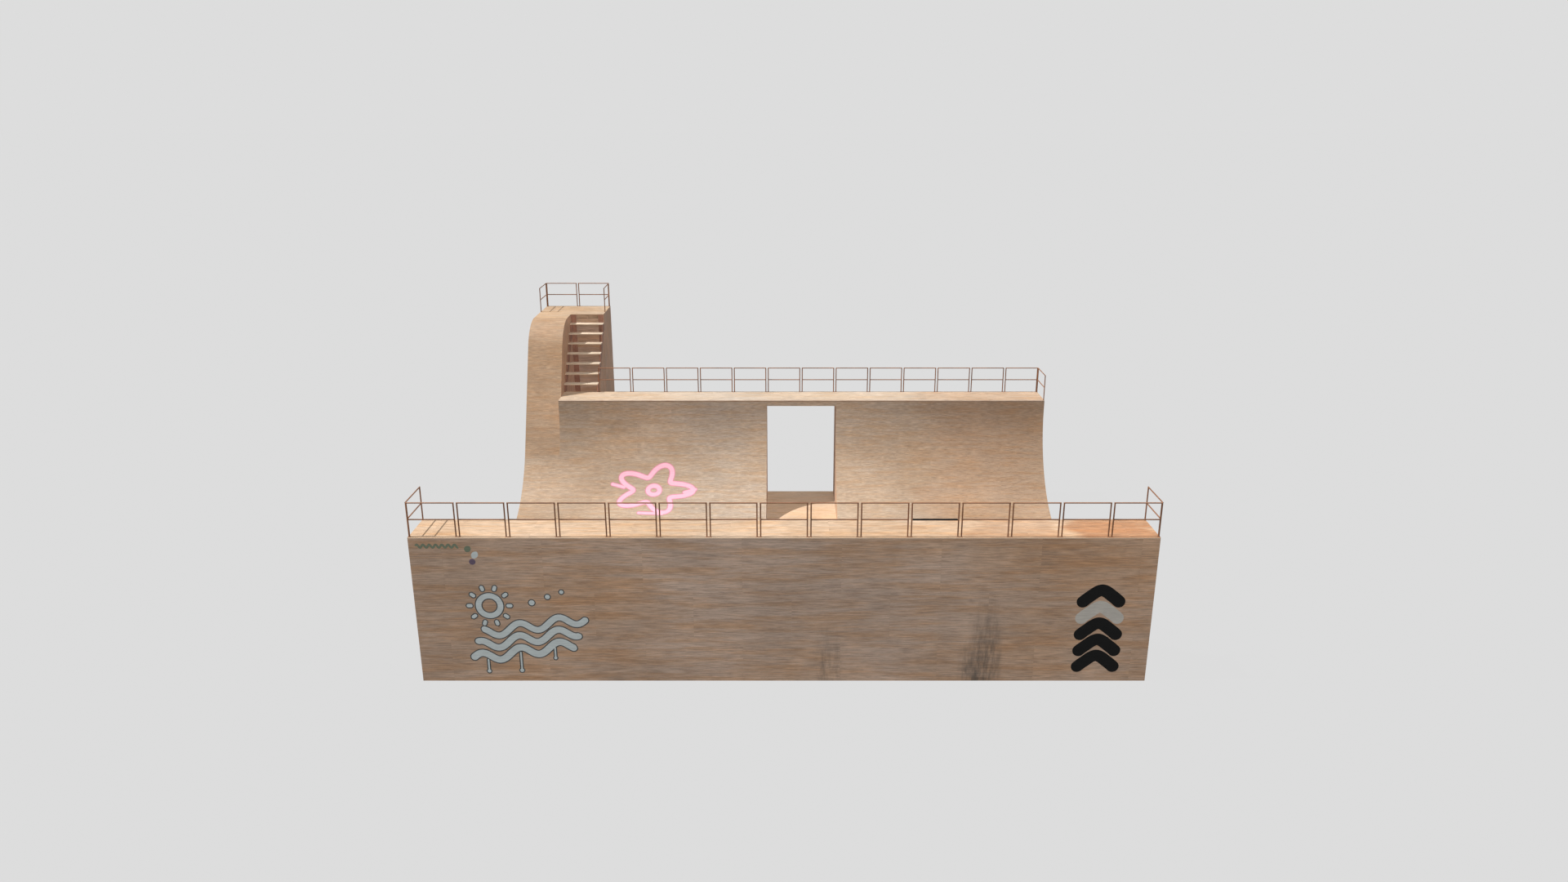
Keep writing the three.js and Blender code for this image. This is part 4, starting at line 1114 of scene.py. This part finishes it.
class RAMP_OT_passage(bpy.types.Operator):
    """Finishes the walls, head and floor of the passage through the far quarter"""

    bl_idname = "ramp.passage"
    bl_label = "Passage"

    def execute(self, context):
        low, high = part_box("tunnel_floor")
        pile = Pile()
        lay_top(pile, (low.x, high.x), (low.y, high.y), high.z, SHEET)
        # The floor's finish is made paler, as painted light for the shade in the passage
        floor_finishes = ("passage_floor_plywood", "plywood_edge")
        pile.build("passage_floor_sheets", "riding_ply", floor_finishes, ("tunnel_floor",))

        pile = Pile()
        under = high.z - SHEET - SEAT
        across = np.tile([high.x - low.x, 0.0, 0.0], (2, 1))
        down = np.tile([0.0, 0.0, -1.0], (2, 1))
        bearers = round((high.y - low.y) / BEARER_SPACING)
        for y in np.linspace(low.y, high.y - BEARER_WIDTH, bearers + 1):
            start = np.array([[low.x, y, under], [low.x, y + BEARER_WIDTH, under]])
            add_board(pile, start, across, down, under - low.z, BEARER_EASE, [y, y + BEARER_WIDTH])
        pile.build("passage_floor_bearers", "framing_timber", ("sawn_timber", "sawn_timber"))

        clad_back("tunnel_lintel", -1, "riding_plywood", "riding_ply", 0.0, "passage_head_sheet")
        lip, top = far(LIP_DEPTH - SHEET - SEAT), quarter_top(far)
        for node, outward in (("tunnel_left_wall", 1), ("tunnel_right_wall", -1)):
            low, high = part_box(node)
            joints = [low.y, low.y + SHEET_WIDTH, low.y + 2 * SHEET_WIDTH, lip, high.y]
            clad_end(node, outward, joints, lambda y, head=high.z: np.minimum(top(y), head))
        return {"FINISHED"}


# Frames, copings, stairs and tower


class RAMP_OT_framing(bpy.types.Operator):
    """Gives the sleepers, ribs, joists and deck frames their sawn timber"""

    bl_idname = "ramp.framing"
    bl_label = "Framing"

    def execute(self, context):
        timbers = (
            "flat_sleepers", "flat_underlay", "near_joists", "near_frame", "near_deck_frame",
            "far_joists_left", "far_joists_right", "far_frame_left", "far_frame_right", "far_deck_frame",
            "roll_in_frame",
        )
        for node in timbers:
            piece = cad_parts[node]
            piece.data.materials.clear()
            piece.data.materials.append(material("sawn_timber"))
            dress(piece, "framing_timber")
        return {"FINISHED"}


class RAMP_OT_copings(bpy.types.Operator):
    """Turns the steel tubes along the two lips, in welded lengths"""

    bl_idname = "ramp.copings"
    bl_label = "Copings"

    def execute(self, context):
        for node in ("near_coping", "far_coping"):
            low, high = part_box(node)
            radius = (high.z - low.z) / 2
            ends = np.linspace(low.x, high.x, math.ceil((high.x - low.x) / COPING_LIMIT) + 1)
            pile = Pile()
            for left, right in zip(ends[:-1], ends[1:]):
                start = (left + COPING_BEAD / 2, (low.y + high.y) / 2, (low.z + high.z) / 2)
                length, bore = right - left - COPING_BEAD, radius - COPING_WALL
                add_sleeve(pile, start, length, radius, bore, COPING_BEAD, COPING_SIDES)
            pile.build(node + "_tube", "coping_steel", ("lip_steel",), (node,))
        return {"FINISHED"}


def build_tread(number):
    """One tread: a board with a round nose and chamfered back edges, drawn in at its two ends."""
    node = f"stair_tread_{number}"
    low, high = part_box(node)
    angle = np.linspace(-math.pi / 2, -math.pi, NOSE_POINTS)
    front = np.stack([low.y + NOSE + NOSE * np.cos(angle), low.z + NOSE + NOSE * np.sin(angle)], axis=1)
    over = np.stack([front[::-1, 0], low.z + high.z - front[::-1, 1]], axis=1)
    back = [
        (high.y - TIMBER_EASE, high.z), (high.y, high.z - TIMBER_EASE),
        (high.y, low.z + TIMBER_EASE), (high.y - TIMBER_EASE, low.z),
    ]
    outline = np.concatenate([front, over, back])
    middle = outline.mean(axis=0)
    inset = middle + (outline - middle) * TREAD_END_SHARES
    rows = [(low.x, inset), (low.x + TIMBER_EASE, outline), (high.x - TIMBER_EASE, outline), (high.x, inset)]
    points = np.stack([np.column_stack([np.full(len(section), x), section]) for x, section in rows])
    quads, caps = grid_faces(len(rows), len(outline)), end_caps(len(rows), len(outline))
    pile = Pile()
    pile.add(points, [quads[:, ::-1], caps[:, ::-1]])
    pile.build(f"tread_{number}", "stair_timber", ("tread_board",), (node,), TREAD_SMOOTH)


class RAMP_OT_stairs(bpy.types.Operator):
    """Planes the treads with rounded noses and eases the stringers, the tower's posts and its right wall"""

    bl_idname = "ramp.stairs"
    bl_label = "Stairs and Tower"

    def execute(self, context):
        for number in range(1, TREADS + 1):
            build_tread(number)
        for name in ("left_stringer", "right_stringer"):
            eased_copy("stair_" + name, name, "stringer_paint", TIMBER_EASE, "brown_paint")
        low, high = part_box("tower_frame")
        between = (low.x + TOWER_POST, high.x - TOWER_POST)
        eased_copy(
            "tower_frame", "tower_posts", "stringer_paint", TIMBER_EASE, "brown_paint", "sawn_timber", between
        )
        eased_copy("tower_right_wall", "tower_right_sheet", "wall_ply", PANEL_EASE, "whole_wall_plywood")
        return {"FINISHED"}


# Guard rails and screws


def add_frame(pile, foot, direction, start, end):
    """Adds one welded guard rail frame: two posts, a top and a middle tube, and a bead round each weld."""
    size = sizes()
    up = np.array([0.0, 0.0, 1.0])
    post, rail, sides = size.post_radius, size.rail_radius, size.tube_sides
    top = (RAIL_TOP - DECK_TOP - rail) * up
    middle, plate = RAIL_MIDDLE * up, PLATE_THICKNESS * up
    first, last, reach = foot + start * direction, foot + end * direction, post * direction
    foot_bead = [(height, post + width) for height, width in FOOT_BEAD]
    weld_bead = [(height, rail + width) for height, width in WELD_BEAD]
    for place in (first + reach, last - reach):
        add_tube(pile, place + plate, place + top - POST_GAP * up, post, sides)
        add_turned(pile, place + plate, up, foot_bead, sides)
    add_tube(pile, first + top, last + top, rail, sides)
    add_tube(pile, first + reach + middle, last - reach + middle, rail, sides)
    for place, way in ((first + 2 * reach, direction), (last - 2 * reach, -direction)):
        add_turned(pile, place + middle - BEAD_OVERLAP * way, way, weld_bead, sides)


def add_plate(pile, bolts, foot, direction, start, end, half):
    """Adds a base plate between two places of a run, with a bolt and washer at each place of bolts."""
    sideways = np.cross([0.0, 0.0, 1.0], direction)
    top = foot + PLATE_THICKNESS * np.array([0.0, 0.0, 1.0])
    rows = np.stack([top + start * direction - half * sideways, top + end * direction - half * sideways])
    across, down = np.tile(2 * half * sideways, (2, 1)), np.tile([0.0, 0.0, -1.0], (2, 1))
    add_board(pile, rows, across, down, PLATE_THICKNESS, PLATE_EASE, [0.0, end - start])
    for place in bolts:
        add_turned(pile, top + place * direction, (0, 0, 1), WASHER, WASHER_SIDES)
        add_turned(pile, top + place * direction, (0, 0, 1), BOLT_HEAD, BOLT_SIDES)


def add_run(pile, node, direction, frames):
    """Adds a straight run of guard rail over a CAD node's own length, a frame to each panel."""
    low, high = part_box(node)
    along = 0 if direction[0] else 1
    half = (high[1 - along] - low[1 - along]) / 2
    line = (low[1 - along] + high[1 - along]) / 2
    foot = np.array((low.x, line, low.z) if along == 0 else (line, low.y, low.z), float)
    direction = np.array(direction, float)
    length = high[along] - low[along]
    inset = JOINT_INSET if frames > 1 or along == 0 else 0.0
    joints = np.linspace(0.0, length, frames + 1)
    for start, end in zip(joints[:-1], joints[1:]):
        add_frame(pile, foot, direction, start + inset, end - inset)
    plate = inset + 2 * sizes().post_radius + PLATE_MARGIN
    for joint in joints:
        start, end = max(joint - plate, 0.0), min(joint + plate, length)
        bolt = min(max(joint, END_BOLT), length - END_BOLT)
        add_plate(pile, [bolt] if inset else [], foot, direction, start, end, half)


class RAMP_OT_guard_rails(bpy.types.Operator):
    """Welds the guard rails from round tube, with their base plates, bolts and one foam sleeve"""

    bl_idname = "ramp.guard_rails"
    bl_label = "Guard Rails"

    def execute(self, context):
        for node, direction, frames in RAIL_RUNS:
            pile = Pile()
            add_run(pile, node, direction, frames)
            pile.build(node + "_frames", "rail_paint", ("rail_enamel", "rail_enamel"), (node,))
        low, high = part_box("near_rail_right")
        clear = JOINT_INSET + 2 * sizes().post_radius + SLEEVE_GAP
        left, right = SLEEVE_PANELS[0] * SHEET_WIDTH + clear, SLEEVE_PANELS[1] * SHEET_WIDTH - clear
        start = (left, (low.y + high.y) / 2, low.z + RAIL_MIDDLE)
        bore = sizes().rail_radius + SLEEVE_BORE_GAP
        pile = Pile()
        add_sleeve(pile, start, right - left, SLEEVE_RADIUS, bore, SLEEVE_ROUND, SLEEVE_SIDES)
        pile.build("rail_sleeve", "rail_paint", ("black_foam",))
        return {"FINISHED"}


class RAMP_OT_screws(bpy.types.Operator):
    """Drives the screws that hold the sheets"""

    bl_idname = "ramp.screws"
    bl_label = "Screws"

    def execute(self, context):
        if not ScrewHeads.places:
            raise RuntimeError("lay the sheets first, because they say where the screws go")
        pile = Pile()
        places, normals = np.concatenate(ScrewHeads.places), np.concatenate(ScrewHeads.normals)
        add_screws(pile, places, normals, sizes().screw_radius)
        pile.build("sheet_screws", "coping_steel", ("fixing_zinc",), (), SCREW_SMOOTH)
        return {"FINISHED"}


# Paint marks


def through(points, rounded=True):
    """A finely stepped path through points, rounded or straight from point to point.

    A rounded path is cubic from one point to the next, and at each it runs as the line between its neighbours
    does.
    """
    points = np.asarray(points, float)
    length = np.linalg.norm(np.diff(points, axis=0), axis=1).sum()
    place = np.linspace(0, len(points) - 1, max(LEAST_POINTS, int(length / PATH_STEP)))
    index = np.minimum(place.astype(int), len(points) - 2)
    share = (place - index)[:, None]
    if not rounded:
        return points[index] + (points[index + 1] - points[index]) * share
    points = np.concatenate([2 * points[:1] - points[1:2], points, 2 * points[-1:] - points[-2:-1]])
    before, here, ahead, after = (points[index + step] for step in range(4))
    square = 2 * before - 5 * here + 4 * ahead - after
    cube = 3 * here - before - 3 * ahead + after
    return 0.5 * (2 * here + (ahead - before) * share + square * share**2 + cube * share**3)


def line(start, end):
    """A straight path."""
    return through([start, end], False)


def add_stroke(pile, surface, path, half, lift, index):
    """Adds a brush stroke along a path on a surface, as a thin closed ribbon with round ends.

    Across each point of the path lie five points, up to half to each side, raised from the surface by lift,
    and five just under it. Near an end the width follows a circle.
    """
    step = np.linalg.norm(np.diff(path, axis=0), axis=1)
    run = np.concatenate([[0.0], np.cumsum(step)])
    end = np.minimum(run, run[-1] - run)
    ahead = unit(np.gradient(path, axis=0))
    if np.allclose(path[0], path[-1]):
        reach = np.full(len(path), half)
        ahead[[0, -1]] = unit(path[1] - path[-2])
    else:
        reach = half * np.sqrt(1 - np.clip(1 - end / half, 0.0, END_LIMIT) ** 2)
    aside = np.stack([-ahead[:, 1], ahead[:, 0]], axis=1) * reach[:, None]
    shares = np.array([-1.0, -0.5, 0.0, 0.5, 1.0, 1.0, 0.5, 0.0, -0.5, -1.0])
    places = path[:, None] + shares[None, :, None] * aside[:, None]
    points, normals = surface(places[..., 0].ravel(), places[..., 1].ravel())
    raised = np.tile([lift] * 5 + [UNDERSIDE] * 5, len(path))
    points = (points + raised[:, None] * normals).reshape(len(path), len(shares), 3)
    quads, caps = grid_faces(len(path), len(shares)), end_caps(len(path), len(shares))
    facing = np.cross(points[1, 2] - points[0, 2], points[0, 3] - points[0, 2])
    if np.dot(facing, normals[0]) > 0:
        quads, caps = quads[:, ::-1], caps[:, ::-1]
    pile.add(points, [quads, caps], None, [index, index])


def add_outlined(pile, surface, path, half, order=0):
    """Adds a stroke over a wider and longer one in the first finish, which shows as its outline."""
    wide = path
    if not np.allclose(path[0], path[-1]):
        first, last = unit(path[0] - path[1]), unit(path[-1] - path[-2])
        wide = np.concatenate([[path[0] + OUTLINE * first], path, [path[-1] + OUTLINE * last]])
    add_stroke(pile, surface, wide, half + OUTLINE, OUTLINE_LIFT + STROKE_STEP * order, 0)
    add_stroke(pile, surface, path, half, FILL_LIFT + STROKE_STEP * order, 1)


def add_spot(pile, surface, place, radius, order):
    """Adds an outlined spot: a stroke that is as long as it is wide."""
    path = line(np.subtract(place, (radius, 0.0)), np.add(place, (radius, 0.0)))
    add_outlined(pile, surface, path, radius, order)


def near_wall(across, height):
    """Points and outward normals on the near wall's outer face."""
    place = np.stack([across, np.full_like(across, NEAR_BACK), height], axis=-1)
    return place, np.tile([0.0, -1.0, 0.0], (len(across), 1))


def far_curve(across, distance):
    """Points and outward normals on the far curve, by the distance from its toe."""
    return face_points(curve_section, far, distance, across)


def brush_flower(turn, circle):
    """A flower, its heart and its dashes: its line swings out and in once for each petal."""
    pile = Pile()
    petals = 1 + PETAL_SHARE * np.cos(PETALS * turn[:, None])
    add_outlined(pile, far_curve, FLOWER + FLOWER_REACH * petals * circle, FLOWER_HALF)
    add_outlined(pile, far_curve, FLOWER + FLOWER_HEART * circle, FLOWER_HALF, 1)
    for dash in DASHES:
        add_outlined(pile, far_curve, line(*np.add(FLOWER, dash)), DASH_HALF, 2)
    pile.build("pink_paint_mark", "riding_ply", ("rose_spray", "pink_spray"))


def brush_waves(circle, along):
    """A ringed sun with rays over three slanting waves, with drips and spots."""
    pile = Pile()
    add_outlined(pile, near_wall, SUN_DISC + SUN_RADIUS * circle, SUN_HALF)
    for angle in np.arange(RAYS) * 2 * math.pi / RAYS:
        way = np.array([math.cos(angle), math.sin(angle)])
        add_outlined(pile, near_wall, line(*(SUN_DISC + np.outer(RAY_SHARES, SUN_RADIUS * way))), RAY_HALF, 1)
    for order, (half, left) in enumerate(WAVES):
        swell = WAVE_SWELL * np.sin(WAVE_ANGLE * along + WAVE_SHIFT * order)
        height = WAVE_FOOT + WAVE_PITCH * order + WAVE_RISE * along + swell
        add_outlined(pile, near_wall, np.stack([left + WAVE_LENGTH * along, height], axis=1), half, 2 + order)
    for across, top, length, bead in DRIPS:
        foot = (across, top - length)
        add_outlined(pile, near_wall, line((across, top), foot), DRIP_HALF, 6)
        add_spot(pile, near_wall, foot, bead, 7)
    for place, radius in SPOTS:
        add_spot(pile, near_wall, place, radius, 8)
    pile.build("grey_paint_mark", "wall_ply", ("dark_spray", "grey_spray"))


def brush_dabs(along):
    """A faint squiggle and three dabs at the near wall's top left."""
    pile = Pile()
    height = SQUIGGLE_HEIGHT + SQUIGGLE_SWELL * np.sin(SQUIGGLE_ANGLE * along)
    squiggle = np.stack([SQUIGGLE_LEFT + SQUIGGLE_LENGTH * along, height], axis=1)
    add_stroke(pile, near_wall, squiggle, SQUIGGLE_HALF, OUTLINE_LIFT, 0)
    for order, (across, height, half) in enumerate(DABS):
        dab = line(*np.add((across, height), DAB_ENDS))
        add_stroke(pile, near_wall, dab, half, OUTLINE_LIFT + DAB_STEP * order, order)
    pile.build("small_paint_dabs", "wall_ply", ("green_spray", "grey_spray", "dusk_spray"))


def brush_chevrons():
    """Stacked black chevrons with one pale one."""
    pile = Pile()
    for order in range(CHEVRONS):
        bend = through(CHEVRON_FOOT + CHEVRON_REACH * CHEVRON_SHARES + (0.0, CHEVRON_PITCH * order))
        add_stroke(pile, near_wall, bend, CHEVRON_HALF, CHEVRON_LIFT, int(order == PALE_CHEVRON))
    pile.build("chevron_paint_mark", "wall_ply", ("black_spray", "bone_spray"))


class RAMP_OT_paint_marks(bpy.types.Operator):
    """Brushes generic paint marks on the near wall and the far curve"""

    bl_idname = "ramp.paint_marks"
    bl_label = "Paint Marks"

    def execute(self, context):
        turn = np.linspace(0, 2 * math.pi, RING_POINTS)
        circle = np.stack([np.cos(turn), np.sin(turn)], axis=1)
        along = np.linspace(0, 1, WAVE_POINTS)
        brush_flower(turn, circle)
        brush_waves(circle, along)
        brush_dabs(along)
        brush_chevrons()
        return {"FINISHED"}


# Stage


def link(name, data):
    """Adds an object that holds the data to the scene."""
    made = bpy.data.objects.new(name, data)
    bpy.context.scene.collection.objects.link(made)
    return made


def stage_floor():
    """A wide pale floor, which the camera sees as an even glow with a little of the ramp's shadow."""
    ground = Recipe("pale_floor")
    ground.finish(ground.colour((FLOOR_REFLECTANCE,) * 3), 0.9, specular=0.0)
    seen = ground.node("LightPath").outputs["Is Camera Ray"]
    glow = ground.node("Emission", {"Strength": FLOOR_GLOW}).outputs[0]
    share = ground.maths("MULTIPLY", seen, FLOOR_GLOW_SHARE)
    blend = ground.node("MixShader", {0: share, 1: ground.shader.outputs[0], 2: glow})
    ground.put(ground.tree.nodes["Material Output"].inputs["Surface"], blend.outputs[0])
    mesh = bpy.data.meshes.new("floor")
    corners = [(x * FLOOR_HALF, y * FLOOR_HALF, 0.0) for x, y in ((-1, -1), (1, -1), (1, 1), (-1, 1))]
    mesh.from_pydata(corners, [], [(0, 1, 2, 3)])
    mesh.materials.append(ground.material)
    link("floor", mesh)


def stage_sky():
    """An even white sky, stronger behind the ramp than as a light on it."""
    world = bpy.data.worlds.new("sky")
    bpy.context.scene.world = world
    world.use_nodes = True
    tree = world.node_tree
    background = tree.nodes["Background"]
    background.inputs["Color"].default_value = (1.0, 1.0, 1.0, 1.0)
    path = tree.nodes.new("ShaderNodeLightPath")
    strength = tree.nodes.new("ShaderNodeMapRange")
    strength.inputs["To Min"].default_value = SKY_STRENGTH
    strength.inputs["To Max"].default_value = BACKDROP
    tree.links.new(path.outputs["Is Camera Ray"], strength.inputs["Value"])
    tree.links.new(strength.outputs["Result"], background.inputs["Strength"])


def stage_lights():
    """A low sun from the left, and broad fills without shadows."""
    for name, towards, strength, breadth, shadow in LIGHTS:
        lamp = bpy.data.lights.new(name, "SUN")
        lamp.energy = strength
        lamp.angle = math.radians(breadth)
        lamp.use_shadow = shadow
        link(name, lamp).rotation_euler = Vector(towards).to_track_quat("Z", "Y").to_euler()


def stage_camera():
    """The camera, in front of the near wall and above the decks, tilted down by its pitch."""
    camera = bpy.data.cameras.new("camera")
    camera.lens = CAMERA_LENS
    camera.sensor_width = CAMERA_SENSOR
    camera.clip_end = CAMERA_LIMIT
    eye = link("camera", camera)
    eye.location = CAMERA_PLACE
    eye.rotation_euler = Euler((math.radians(90 - CAMERA_PITCH), 0, 0))
    bpy.context.scene.camera = eye


class RAMP_OT_stage(bpy.types.Operator):
    """Sets the pale floor, the soft sky, the sun, the fills and the camera"""

    bl_idname = "ramp.stage"
    bl_label = "Stage"

    def execute(self, context):
        context.scene.view_settings.view_transform = "Standard"
        stage_floor()
        stage_sky()
        stage_lights()
        stage_camera()
        return {"FINISHED"}


class RAMP_PT_looks(bpy.types.Panel):
    """Lists the ramp's sizes, finishes and steps"""

    bl_idname = "RAMP_PT_looks"
    bl_label = "Half Pipe Ramp"
    bl_space_type = "VIEW_3D"
    bl_region_type = "UI"
    bl_category = "Ramp"

    def draw(self, context):
        for group in (context.scene.ramp_sizes, context.scene.ramp_finishes):
            box = self.layout.box()
            for name in group.bl_rna.properties.keys():
                if name not in ("rna_type", "name"):
                    box.prop(group, name)
        for operator in OPERATORS:
            self.layout.operator(operator.bl_idname)


OPERATORS = (
    RAMP_OT_riding_sheets,
    RAMP_OT_decks,
    RAMP_OT_walls,
    RAMP_OT_passage,
    RAMP_OT_framing,
    RAMP_OT_copings,
    RAMP_OT_stairs,
    RAMP_OT_guard_rails,
    RAMP_OT_screws,
    RAMP_OT_paint_marks,
    RAMP_OT_stage,
)
CLASSES = (RampSizes, RampFinishes, *OPERATORS, RAMP_PT_looks)


def register():
    for cls in CLASSES:
        bpy.utils.register_class(cls)
    bpy.types.Scene.ramp_sizes = PointerProperty(type=RampSizes)
    bpy.types.Scene.ramp_finishes = PointerProperty(type=RampFinishes)


def unregister():
    del bpy.types.Scene.ramp_finishes
    del bpy.types.Scene.ramp_sizes
    for cls in reversed(CLASSES):
        bpy.utils.unregister_class(cls)


def main():
    """Builds every piece in order."""
    register()
    for operator in OPERATORS:
        getattr(bpy.ops.ramp, operator.bl_idname.split(".")[1])()
    bpy.context.view_layer.update()


if __name__ == "__main__":
    main()
